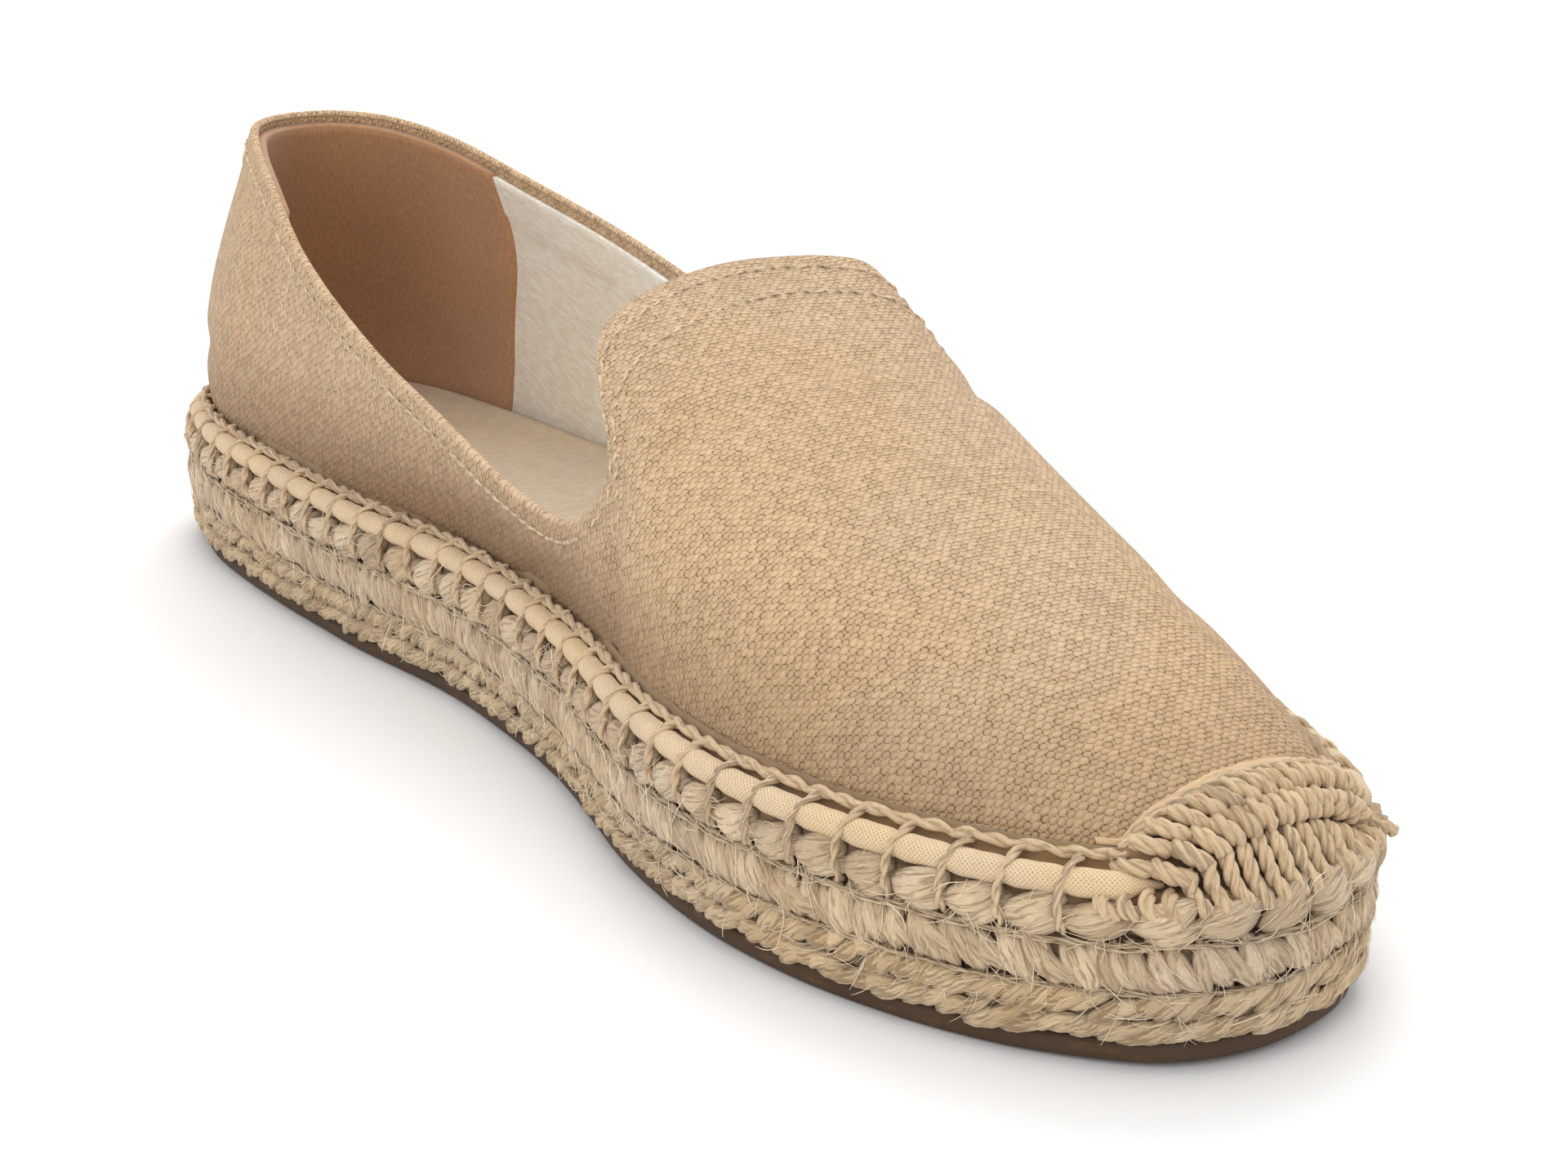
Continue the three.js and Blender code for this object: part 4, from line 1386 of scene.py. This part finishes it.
def toe_lift(share):
    """How far the thread's middle stands off the canvas, from the foot (0) to the toe line (1)."""
    return 2.4 - 1.5 * np.asarray(share) ** 0.8


def toe_share(around, height):
    top = np.interp(around, *TOE.lines[0], left=0.0, right=0.0)
    return clamp(height / np.maximum(top, 0.03))


def toe_point(around, height, lift):
    """Point over the toe; a height below 0 goes down the front of the braid, 0.01 to each millimetre."""
    high = np.maximum(height, 0.0)
    on = upper_offset(around, high, toe_lift(toe_share(around, high)) + lift)
    drop = -np.minimum(height, 0.0) * 100.0
    front = edge_place(around, 0.4 + lift, BASE_Z - drop + 0.6)
    share = smooth(drop / 1.6)[..., None]
    return on * (1 - share) + front * share


def toe_loop(heap, start, end, bow, sizes, rng, arch=0.75, radius=1.0):
    """One thick loop between two places (round, height), bowed sideways and arched off the cloth."""
    t = np.linspace(0.0, 1.0, 15)
    around = start[0] + (end[0] - start[0]) * t + bow * np.sin(math.pi * t)
    height = start[1] + (end[1] - start[1]) * t
    rise = arch * np.sin(math.pi * t) ** 0.6 - 0.75
    path = toe_point(around, height, rise)
    for _ in range(2):
        path[1:-1] = (path[:-2] + 2 * path[1:-1] + path[2:]) / 4
    add_thread(heap, path, sizes.toe_radius * radius, 3, 6.5, 7, rng.uniform(0.3, 0.9), rng.uniform(0, 6.0),
               taper=1.2, lean=(1.0, 0.0, 0.2), uv_start=rng.uniform(0, 50.0))


def make_toe_thread(sizes, material):
    heap = Heap()
    rng = np.random.default_rng(77)
    for row, (shift, thick) in enumerate(((0.0046, 0.98), (0.0044, 1.06))):
        count = round(TOE.length(row) / sizes.toe_pitch)
        starts = TOE.along(row, count)
        ends = TOE.along(row + 1, count)
        for k in range(count):
            share = k / (count - 1)
            side = 0.0015 * (share * 2 - 1)
            wobble = 0.0007 * rng.normal()
            slant = shift * (0.25 + 0.75 * smooth(share / 0.6))
            first = (starts[0][k] - slant + wobble, starts[1][k] + 0.003 * row)
            second = (ends[0][k] + slant, max(ends[1][k] - 0.003, 0.0))
            toe_loop(heap, first, second, side - 0.001, sizes, rng, 1.55 + 0.10 * row, thick)
    legs = even_rounds(TOE.first - 0.002, TOE.last + 0.002, sizes.toe_leg_pitch)
    low_around, low_height = TOE.lines[2]
    for around in legs:
        high = np.interp(around, low_around, low_height, left=0.0, right=0.0)
        side = 0.0015 * math.cos(math.pi * (around - TOE.first) / (TOE.last - TOE.first))
        start = (around - 0.004, high + 0.003)
        end = (around + 0.001 + 0.001 * rng.normal(), -0.030 - 0.006 * rng.uniform())
        toe_loop(heap, start, end, -0.003 - side, sizes, rng, 1.1, 0.9)
    knot_round = TOE.last - 0.012
    a = np.linspace(0.2, 5.6, 14)
    knot = toe_point(knot_round + 0.010 * np.cos(a), 0.012 * np.sin(a) - 0.012, 1.6 + 0.5 * np.sin(2 * a))
    add_thread(heap, knot, 0.95, 2, 4.0, 6, 0.7, taper=1.0)
    piece = heap.build("toe_thread", material)
    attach(piece, "root")
    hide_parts("toe_stitching")


def make_toe_pad(material, edge_material):
    """Ground under the toe thread, coloured dark as painted shade between the loops, and the smooth turned
    edge of the canvas above it.
    """
    around = np.linspace(TOE.first, TOE.last, 90)
    top = np.maximum(np.interp(around, *TOE.lines[0]), 0.02)
    share = np.linspace(-0.25, 1.0, 22)
    r = np.broadcast_to(around, (22, 90))
    height = np.where(share[:, None] > 0, share[:, None] * top[None, :], share[:, None] * 0.09)
    face = toe_point(r, height, np.full(r.shape, -1.0))
    back = upper_offset(r, np.maximum(height, 0.0), 0.2)
    uv = np.stack([r * 300.0, height * 90.0], axis=-1)
    pad = sheet_piece("toe_ground", face, back, uv, material)
    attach(pad, "root")
    rim_around = np.linspace(TOE.first - RIM_PAST_TOE, TOE.last + RIM_PAST_TOE, 120)
    rim_top = np.interp(rim_around, *TOE.lines[0])
    rim_top = np.maximum(rim_top, TOP.height_above(rim_around, 3.9))
    t = np.linspace(0.0, 1.0, 9)[:, None]
    height = rim_top + 0.004 + 0.020 * t
    face = upper_offset(rim_around, height, 0.10 + 0.60 * np.sin(math.pi * (0.3 + 0.7 * t)).clip(0.0) ** 0.5)
    back = upper_offset(rim_around, height, 0.0)
    run = run_along(face[4])
    uv = np.stack(np.broadcast_arrays(run[None, :], np.linspace(0, 2.4, 9)[:, None]), axis=-1)
    fold = sheet_piece("toe_fold", face, back, uv, edge_material)
    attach(fold, "root")


# ---------------------------------------------------------------------------------------------
# Jute sole


def lobe_shape(variant, length, high, deep, sides=10, rings=9, ridges=4, twist=1.2):
    """A plump strand end: a tapering ridged body, level along x, standing out along z."""
    rng = np.random.default_rng(300 + variant)
    t = np.linspace(0.0, 1.0, rings)
    angle = np.arange(sides) * 2 * math.pi / sides
    body = np.sin(math.pi * clamp(0.04 + 0.92 * t**0.9)) ** 0.55
    phase = rng.uniform(0, 6.28)
    ridge = 1.0 + 0.07 * np.cos(ridges * angle[None, :] + twist * 3.0 * t[:, None] + phase)
    bend = rng.normal(0, 0.12) * high
    x = (t - 0.5)[:, None] * length + 0.0 * ridge
    y = np.cos(angle)[None, :] * high / 2 * body[:, None] * ridge + bend * np.sin(math.pi * t)[:, None]
    z = np.sin(angle)[None, :] * deep * body[:, None] * ridge + 0.5 * (np.sin(math.pi * t)[:, None] - 0.6)
    heap = Heap()
    u = np.broadcast_to((t * length)[:, None] + 13.0 * variant, (rings, sides))
    v = np.broadcast_to((angle * high / 2)[None, :], (rings, sides))
    heap.add(np.stack([x, y, z], axis=-1), grid_faces(rings, sides, wrap_columns=True),
             np.stack([u, v], axis=-1), 0.5)
    heap.add_caps(0, rings, sides)
    return shape_object(heap, f"strand {variant}")


def core_levels(course, back):
    height = course["top"] - course["bottom"]
    levels = []
    for t in (0.0, 0.12, 0.3, 0.5, 0.7, 0.88, 1.0):
        offset = course["bulge"] * math.sin(math.pi * t) * 0.7 - course["inset"] - back
        levels.append((course["bottom"] + height * t, offset))
    return levels


def make_core(key, node, back, material):
    piece = slab_piece(f"braid_{key}_core", core_levels(COURSES[key], back), material, wave=0.15)
    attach(piece, "root")
    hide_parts(node)


def make_top_braid(stitches, material):
    """Plump slanting strands of the uppermost course, one between each two stitches."""
    rng = np.random.default_rng(5)
    marks = np.sort(SOLE.distance(stitches))
    middle = (marks + np.append(marks[1:], marks[0] + SOLE.total)) / 2
    wide = np.append(np.diff(marks), marks[0] + SOLE.total - marks[-1])
    over_toe = np.argmax(wide)
    toe_marks = marks[over_toe] + np.arange(1, 9) * wide[over_toe] / 8 - wide[over_toe] / 16
    middle = np.append(np.delete(middle, over_toe), toe_marks)
    gaps = SOLE.around(middle)
    gaps = np.concatenate([gaps, gaps + 0.0052])
    count = len(gaps)
    plump = np.arange(count) < count // 2
    shapes = [lobe_shape(k, 8.2, 4.7, 1.70, 12, 9, 4, 1.6) for k in range(7)]
    z = BASE_Z - 3.0 + rng.normal(0, 0.18, count) + np.where(plump, 0.45, -1.15)
    out = -0.45 + rng.normal(0, 0.12, count) - np.where(plump, 0.0, 0.35)
    places = edge_place(gaps, out, z)
    frames = tilt_frames(edge_frames(gaps), 24.0 + rng.normal(0, 7.0, count))
    high = np.where(plump, 1.0, 0.66)
    sizes = np.stack([rng.uniform(0.92, 1.1, count), high * rng.uniform(0.92, 1.08, count),
                      rng.uniform(0.9, 1.15, count)], 1)
    shades = rng.uniform(0.15, 1.0, count)
    piece = copies("braid_top_strands", shapes, places, frames, sizes, shades, material, 0.0,
                   (0.12, 0.10, 0.0), 3)
    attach(piece, "root")


def make_middle_braid(material):
    """Upright strands of the middle course, some drooping."""
    gaps = even_rounds(0.0, 2.0, 1.55)
    rng = np.random.default_rng(6)
    count = len(gaps)
    shapes = [lobe_shape(20 + k, 7.4, 2.7, 0.95, 8, 7, 3) for k in range(6)]
    lean = 112.0 + rng.normal(0.0, 9.0, count)
    droop = rng.random(count) < 0.10
    lean = np.where(droop, lean + rng.uniform(14, 34, count), lean)
    z = 13.4 + rng.normal(0, 0.30, count)
    places = edge_place(gaps, 0.0 + rng.normal(0, 0.14, count) + 0.18 * droop, z)
    frames = tilt_frames(edge_frames(gaps), lean)
    sizes = np.stack([rng.uniform(0.92, 1.08, count), rng.uniform(0.8, 1.25, count),
                      rng.uniform(0.8, 1.2, count)], 1)
    shades = rng.uniform(0.2, 1.0, count)
    piece = copies("braid_middle_strands", shapes, places, frames, sizes, shades, material, 0.0,
                   (0.10, 0.06, 0.0), 4)
    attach(piece, "root")


def make_low_braid(material):
    """Two flattened rows of slanting strands that meet in a herringbone."""
    rng = np.random.default_rng(8)
    shapes = [lobe_shape(40 + k, 6.4, 2.4, 0.7, 8, 6, 3) for k in range(6)]
    places, frames, sizes, shades = [], [], [], []
    for z, lean, out in ((8.3, 36.0, 0.10), (4.9, 24.0, 0.0)):
        gaps = even_rounds(0.0, 2.0, 2.15) + rng.normal(0, 0.0006)
        count = len(gaps)
        offset = out - 0.25 + rng.normal(0, 0.12, count)
        places.append(edge_place(gaps, offset, z + rng.normal(0, 0.3, count)))
        frames.append(tilt_frames(edge_frames(gaps), lean + rng.normal(0, 6.0, count)))
        sizes.append(np.stack([rng.uniform(0.85, 1.15, count), rng.uniform(0.85, 1.2, count),
                               rng.uniform(0.7, 1.2, count)], 1))
        shades.append(rng.uniform(0.2, 0.9, count))
    piece = copies("braid_low_strands", shapes, np.concatenate(places), np.concatenate(frames),
                   np.concatenate(sizes), np.concatenate(shades), material, 0.0, (0.08, 0.05, 0.0), 6)
    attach(piece, "root")


def make_course_cords(material):
    """Loose strands that lie along the two gaps between the courses."""
    heap = Heap()
    rng = np.random.default_rng(15)
    around = np.linspace(0.0, 2.0, 520)
    # height, distance out, radius and unevenness of each strand
    strands = (
        (16.55, 0.55, 0.36, 0.28),
        (16.25, 0.75, 0.22, 0.45),
        (10.05, 0.35, 0.30, 0.30),
        (10.3, 0.5, 0.18, 0.5),
    )
    for z, out, radius, wave in strands:
        swing = slow_wave(around * 4.0, 0.2, int(z * 10)) + 0.5 * slow_wave(around * 11.0, 0.4, int(z * 7))
        flow = slow_wave(around * 5.0, 0.7, int(z * 13))
        path = edge_place(around, out + 0.25 * flow, z + wave * swing)
        path[-1] = path[0]
        add_thread(heap, path, radius, 2, 6.0, 5, rng.uniform(0.5, 0.9))
    piece = heap.build("course_cords", material)
    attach(piece, "root")


def fibre_shape(variant):
    """One fine loose fibre: a bent hair with both ends tucked in."""
    rng = np.random.default_rng(500 + variant)
    t = np.linspace(-1.0, 1.0, 7)
    reach = rng.uniform(1.2, 2.9)
    bend = rng.normal(0, 0.6)
    hook = rng.normal(0, 0.4)
    lift = rng.uniform(0.05, 0.40)
    path = np.stack([t * reach, bend * (1 - t**2) + hook * t**3, lift * (1 - t**2) - 0.15], axis=-1)
    heap = Heap()
    add_tube(heap, path, 0.055 * (1.0 - 0.5 * t**2), 3)
    return shape_object(heap, f"fibre {variant}")


def make_loose_fibres(name, count, low, high, lean, spread, out, seed, material):
    """Loose pale fibres over a band of the sole edge."""
    rng = np.random.default_rng(seed)
    around = rng.uniform(0.0, 2.0, count)
    z = rng.uniform(low, high, count)
    share = (z - low) / (high - low)
    places = edge_place(around, out + 0.25 * np.sin(math.pi * share) + rng.normal(0, 0.12, count), z)
    wild = rng.random(count) < 0.15
    turn = np.where(wild, rng.uniform(-90, 90, count), lean + rng.normal(0, spread, count))
    frames = tilt_frames(edge_frames(around), turn)
    size = rng.uniform(0.6, 1.35, (count, 1)) * np.ones((1, 3))
    piece = copies(name, [fibre_shape(k) for k in range(12)], places, frames, size,
                   rng.uniform(0.2, 1.0, count), material, 0.0, (0.25, 0.25, 0.0), seed)
    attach(piece, "root")


def make_outsole(material):
    levels = ((0.0, -2.1), (0.12, -1.7), (0.5, -1.25), (1.4, -1.05), (2.4, -1.05), (3.0, -1.3), (3.25, -1.9))
    piece = slab_piece("rubber_sole", levels, material, columns=480, wave=0.18, seed=31)
    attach(piece, "root")
    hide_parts("outsole")


# ---------------------------------------------------------------------------------------------
# Settings


def length(name, millimetres, description):
    return bpy.props.FloatProperty(name=name, description=description, default=millimetres * MM, min=0.0,
                                   precision=5, subtype="DISTANCE", unit="LENGTH")


def colour(name, value, description):
    return bpy.props.FloatVectorProperty(name=name, description=description, default=value, size=3, min=0.0,
                                         max=1.0, subtype="COLOR")


class EspadrilleSizes(bpy.types.PropertyGroup):
    """Sizes of the cloth, cords and stitches."""

    canvas_wall: length("Canvas thickness", 1.25, "Thickness of the canvas without its lining")
    bead_radius: length("Bead radius", 1.75, "Radius of the folded tape's bead round the sole edge")
    bead_inset: length("Bead inset", 1.45, "How far the bead's middle sits inside the sole edge")
    bead_rise: length("Bead rise", 0.9, "Height of the bead's middle above the jute")
    cord_radius: length("Cord radius", 0.84, "Radius of the twisted cord above the bead")
    cord_rise: length("Cord rise", 3.25, "Height of the twisted cord above the jute")
    cord_lift: length("Cord lift", 1.15, "How far the middle of the cord stands off the canvas")
    stitch_pitch: length("Stitch pitch", 7.4, "Distance between two blanket stitches")
    stitch_radius: length("Stitch radius", 0.66, "Radius of the blanket stitch thread")
    top_pitch: length("Top stitch pitch", 2.8, "Distance between two stitches of the top line")
    toe_radius: length("Toe thread radius", 1.22, "Radius of the thick thread over the toe")
    toe_leg_pitch: length("Toe leg pitch", 2.7, "Distance between two legs of the toe thread")
    toe_pitch: length("Toe thread pitch", 3.0, "Distance between two loops over the toe")
    fibres: bpy.props.IntProperty(name="Loose fibres", description="Loose fibres on the sole", default=3000,
                                  min=0)


class EspadrilleColours(bpy.types.PropertyGroup):
    """Main colour of each material."""

    canvas: colour("Canvas", (0.67, 0.465, 0.28), "Coarse khaki canvas")
    fold: colour("Canvas fold", (0.64, 0.455, 0.285), "Smooth turned canvas edge over the toe")
    tape: colour("Tape", (0.84, 0.64, 0.41), "Cream tape round the sole edge")
    cord: colour("Cord", (0.7, 0.51, 0.31), "Twisted cord and blanket stitches")
    seam: colour("Seam thread", (0.80, 0.63, 0.42), "Rows of small stitches along the top line")
    toe: colour("Toe thread", (0.71, 0.515, 0.305), "Thick thread over the toe")
    # Painted shade: the toe ground is coloured dark for the shade between the loops of the toe thread.
    toe_ground: colour("Toe ground", (0.27, 0.175, 0.095), "Dark ground under the toe thread")
    lining: colour("Lining", (0.99, 0.95, 0.875), "Cream cotton lining")
    heel: colour("Heel patch", (0.45, 0.24, 0.122), "Tan patch inside the heel")
    insole: colour("Insole", (0.6, 0.49, 0.36), "Cream insole cover")
    jute: colour("Jute", (0.7, 0.53, 0.35), "Jute of the upper and middle courses")
    low_jute: colour("Lower jute", (0.66, 0.485, 0.29), "Yellower jute of the lowest course")
    # Painted shade: the cores are coloured dark for the shade that falls between the strands and between the
    # courses.
    core: colour("Jute core", (0.36, 0.25, 0.15), "Jute in the shade between the strands")
    fibre: colour("Loose fibre", (0.85, 0.69, 0.49), "Loose fibres on the sole")
    rubber: colour("Rubber", (0.083, 0.05, 0.028), "Dark brown rubber sole")


class EspadrilleStage(bpy.types.PropertyGroup):
    """Floor, lights and view."""

    world: bpy.props.FloatProperty(name="World light", description="Light from all round", default=0.80,
                                   min=0.0)
    key: bpy.props.FloatProperty(name="Key light", description="Large light behind and above", default=5.8,
                                 min=0.0, unit="POWER")
    top: bpy.props.FloatProperty(name="Top light", description="Light straight above", default=3.0, min=0.0,
                                 unit="POWER")
    front: bpy.props.FloatProperty(name="Front light", description="Large light beside the toe", default=3.4,
                                   min=0.0, unit="POWER")
    floor: colour("Floor", (0.93, 0.93, 0.93), "Plain pale floor")


def in_millimetres(group):
    """The sizes as plain numbers, lengths in millimetres."""
    plain = {}
    for key, item in group.bl_rna.properties.items():
        if item.type == "FLOAT":
            plain[key] = getattr(group, key) / MM
        elif item.type == "INT":
            plain[key] = getattr(group, key)
    return SimpleNamespace(**plain)


def sizes_of(context):
    return in_millimetres(context.scene.espadrille_sizes)


def material_of(key):
    """Each material is made once, with the colours that are set."""
    colours = bpy.context.scene.espadrille_colours
    makers = {
        "canvas": lambda: canvas_material(colours.canvas),
        "fold": lambda: folded_canvas_material(colours.fold),
        "tape": lambda: tape_material(colours.tape),
        "cord": lambda: thread_material("Twisted cotton cord", colours.cord),
        "seam": lambda: thread_material("Pale seam thread", colours.seam),
        "toe": lambda: thread_material("Thick toe thread", colours.toe),
        "toe_ground": lambda: jute_material("Ground under the toe thread", colours.toe_ground),
        "lining": lambda: cotton_material("Cream cotton lining", colours.lining),
        "heel": lambda: heel_patch_material(colours.heel),
        "insole": lambda: cotton_material("Cream insole cover", colours.insole),
        "jute": lambda: jute_material("Jute strands", colours.jute),
        "low_jute": lambda: jute_material("Lower jute strands", colours.low_jute),
        "core": lambda: jute_material("Jute core", colours.core),
        "fibre": lambda: fibre_material(colours.fibre),
        "rubber": lambda: rubber_material(colours.rubber),
    }
    if key not in MADE:
        MADE[key] = makers[key]()
    return MADE[key]


def blanket_rounds(sizes):
    return even_rounds(TOE.last + 0.006, 2.0 + TOE.first - 0.006, sizes.stitch_pitch)


# ---------------------------------------------------------------------------------------------
# Operators


class ESPADRILLE_OT_upper(bpy.types.Operator):
    """Make the hollow canvas upper with its rolled top edge"""

    bl_idname = "espadrille.upper"
    bl_label = "Canvas Upper"

    def execute(self, context):
        make_canvas(sizes_of(context), material_of("canvas"))
        return {"FINISHED"}


class ESPADRILLE_OT_inside(bpy.types.Operator):
    """Make the lining, the heel patch and the insole cover"""

    bl_idname = "espadrille.inside"
    bl_label = "Lining and Insole"

    def execute(self, context):
        make_lining(sizes_of(context), material_of("lining"))
        make_heel_patch(sizes_of(context), material_of("heel"))
        make_insole(material_of("insole"))
        return {"FINISHED"}


class ESPADRILLE_OT_edge(bpy.types.Operator):
    """Make the folded tape and the twisted cord round the sole edge"""

    bl_idname = "espadrille.edge"
    bl_label = "Edge Tape and Cord"

    def execute(self, context):
        sizes = sizes_of(context)
        stitches = blanket_rounds(sizes)
        make_tape(sizes, stitches, material_of("tape"))
        make_cord(sizes, stitches, material_of("cord"))
        return {"FINISHED"}


class ESPADRILLE_OT_stitches(bpy.types.Operator):
    """Make the blanket stitches of the edge and the rows of stitches of the top line"""

    bl_idname = "espadrille.stitches"
    bl_label = "Stitches"

    def execute(self, context):
        sizes = sizes_of(context)
        make_blanket_stitches(sizes, blanket_rounds(sizes), material_of("cord"))
        make_top_stitches(sizes, material_of("seam"))
        return {"FINISHED"}


class ESPADRILLE_OT_toe(bpy.types.Operator):
    """Make the thick thread over the toe, its ground and the turned canvas edge above it"""

    bl_idname = "espadrille.toe"
    bl_label = "Toe Thread"

    def execute(self, context):
        make_toe_pad(material_of("toe_ground"), material_of("fold"))
        make_toe_thread(sizes_of(context), material_of("toe"))
        return {"FINISHED"}


class ESPADRILLE_OT_braids(bpy.types.Operator):
    """Make the three jute courses and the loose strands between them"""

    bl_idname = "espadrille.braids"
    bl_label = "Jute Courses"

    def execute(self, context):
        make_core("upper", "jute_braid_upper", 1.5, material_of("core"))
        make_core("middle", "jute_braid_middle", 0.9, material_of("core"))
        make_core("lower", "jute_braid_lower", 0.8, material_of("core"))
        make_top_braid(blanket_rounds(sizes_of(context)), material_of("jute"))
        make_middle_braid(material_of("jute"))
        make_low_braid(material_of("low_jute"))
        make_course_cords(material_of("jute"))
        return {"FINISHED"}


class ESPADRILLE_OT_fibres(bpy.types.Operator):
    """Make the fine loose fibres on the jute"""

    bl_idname = "espadrille.fibres"
    bl_label = "Loose Fibres"

    def execute(self, context):
        count = sizes_of(context).fibres
        material = material_of("fibre")
        make_loose_fibres("fibres_top", int(count * 0.30), 16.6, 21.8, 27.0, 22.0, 0.75, 61, material)
        make_loose_fibres("fibres_middle", int(count * 0.40), 9.8, 16.8, 110.0, 22.0, 0.75, 62, material)
        make_loose_fibres("fibres_low", int(count * 0.30), 4.6, 10.0, 30.0, 22.0, 0.35, 63, material)
        return {"FINISHED"}


class ESPADRILLE_OT_outsole(bpy.types.Operator):
    """Make the thin dark rubber sole"""

    bl_idname = "espadrille.outsole"
    bl_label = "Rubber Sole"

    def execute(self, context):
        make_outsole(material_of("rubber"))
        return {"FINISHED"}


class ESPADRILLE_OT_stage(bpy.types.Operator):
    """Make the pale floor, the soft lights, the white surroundings and the camera"""

    bl_idname = "espadrille.stage"
    bl_label = "Floor, Lights and Camera"

    def execute(self, context):
        scene = context.scene
        stage = scene.espadrille_stage
        add_floor(stage.floor)
        add_light("Key light", (0.55, 0.55, 1.00), 0.9, stage.key)
        add_light("Top light", (-0.05, -0.10, 1.15), 1.1, stage.top)
        add_light("Front light", (-1.00, -0.45, 0.95), 1.2, stage.front)
        world = bpy.data.worlds.new("Soft white room")
        world.use_nodes = True
        background = world.node_tree.nodes["Background"]
        background.inputs[0].default_value = (1.0, 1.0, 1.0, 1.0)
        g = Graph(world.node_tree)
        seen = g.add("ShaderNodeLightPath").outputs["Is Camera Ray"]
        strength = {0: seen, 1: 1.0 - stage.world, 2: stage.world}
        level = g.add("ShaderNodeMath", strength, operation="MULTIPLY_ADD")
        g.tree.links.new(level.outputs[0], background.inputs[1])
        scene.world = world
        scene.view_settings.view_transform = "Standard"
        scene.view_settings.look = "None"
        add_camera(scene)
        return {"FINISHED"}


def add_floor(value):
    """A pale floor that the camera sees as plain white away from the shoe."""
    side = 6.0
    corners = [(-side, -side, 0.0), (side, -side, 0.0), (side, side, 0.0), (-side, side, 0.0)]
    mesh = bpy.data.meshes.new("floor")
    mesh.from_pydata(corners, [], [(0, 1, 2, 3)])
    material = bpy.data.materials.new("Pale floor")
    material.use_nodes = True
    shader = material.node_tree.nodes["Principled BSDF"]
    shader.inputs["Base Color"].default_value = rgba(value)
    shader.inputs["Roughness"].default_value = 0.9
    shader.inputs["Specular IOR Level"].default_value = 0.1
    g = Graph(material.node_tree)
    place = g.add("ShaderNodeTexCoord").outputs["Object"]
    away = g.add("ShaderNodeVectorMath", {0: place}, operation="LENGTH").outputs["Value"]
    seen = g.add("ShaderNodeLightPath").outputs["Is Camera Ray"]
    share = g.math("MULTIPLY", g.ramp(away, 0.4, 1.0), seen)
    white = g.add("ShaderNodeEmission", {"Strength": 1.0}).outputs[0]
    both = g.add("ShaderNodeMixShader", {0: share, 1: shader.outputs[0], 2: white}).outputs[0]
    g.tree.links.new(both, g.tree.nodes["Material Output"].inputs[0])
    mesh.materials.append(material)
    floor = bpy.data.objects.new("floor", mesh)
    bpy.context.scene.collection.objects.link(floor)


def add_light(name, place, side, power):
    light = bpy.data.lights.new(name, "AREA")
    light.shape = "DISK"
    light.size = side
    light.energy = power
    lamp = bpy.data.objects.new(name, light)
    lamp.location = place
    lamp.rotation_euler = (-Vector(place)).to_track_quat("-Z", "Y").to_euler()
    bpy.context.scene.collection.objects.link(lamp)


def add_camera(scene):
    back = Vector((-0.5868, -0.7368, 0.3359)).normalized()
    up = Vector((0.1938, 0.2749, 0.9417))
    right = up.cross(back).normalized()
    up = back.cross(right)
    camera = bpy.data.cameras.new("Camera")
    camera.sensor_fit = "HORIZONTAL"
    camera.sensor_width = 36.0
    camera.lens = 66.8
    camera.clip_start = 0.01
    camera.clip_end = 50.0
    view = bpy.data.objects.new("Camera", camera)
    view.matrix_world = Matrix((
        (right.x, up.x, back.x, -0.249646),
        (right.y, up.y, back.y, -0.341876),
        (right.z, up.z, back.z, 0.171483),
        (0.0, 0.0, 0.0, 1.0),
    ))
    scene.collection.objects.link(view)
    scene.camera = view


OPERATORS = (
    ESPADRILLE_OT_stage,
    ESPADRILLE_OT_upper,
    ESPADRILLE_OT_inside,
    ESPADRILLE_OT_edge,
    ESPADRILLE_OT_stitches,
    ESPADRILLE_OT_toe,
    ESPADRILLE_OT_braids,
    ESPADRILLE_OT_fibres,
    ESPADRILLE_OT_outsole,
)


class ESPADRILLE_PT_panel(bpy.types.Panel):
    """Lists the steps that build the espadrille"""

    bl_idname = "ESPADRILLE_PT_panel"
    bl_label = "Espadrille"
    bl_space_type = "VIEW_3D"
    bl_region_type = "UI"
    bl_category = "Espadrille"

    def draw(self, context):
        for step in OPERATORS:
            self.layout.operator(step.bl_idname)
        for group in (context.scene.espadrille_sizes, context.scene.espadrille_colours,
                      context.scene.espadrille_stage):
            box = self.layout.box()
            for key in group.__annotations__:
                box.prop(group, key)


CLASSES = (EspadrilleSizes, EspadrilleColours, EspadrilleStage, *OPERATORS, ESPADRILLE_PT_panel)


def register():
    for item in CLASSES:
        bpy.utils.register_class(item)
    bpy.types.Scene.espadrille_sizes = bpy.props.PointerProperty(type=EspadrilleSizes)
    bpy.types.Scene.espadrille_colours = bpy.props.PointerProperty(type=EspadrilleColours)
    bpy.types.Scene.espadrille_stage = bpy.props.PointerProperty(type=EspadrilleStage)


def unregister():
    del bpy.types.Scene.espadrille_stage
    del bpy.types.Scene.espadrille_colours
    del bpy.types.Scene.espadrille_sizes
    for item in reversed(CLASSES):
        bpy.utils.unregister_class(item)


def main():
    register()
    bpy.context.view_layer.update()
    bpy.ops.espadrille.stage()
    bpy.ops.espadrille.upper()
    bpy.ops.espadrille.inside()
    bpy.ops.espadrille.edge()
    bpy.ops.espadrille.stitches()
    bpy.ops.espadrille.toe()
    bpy.ops.espadrille.braids()
    bpy.ops.espadrille.fibres()
    bpy.ops.espadrille.outsole()


if __name__ == "__main__":
    main()
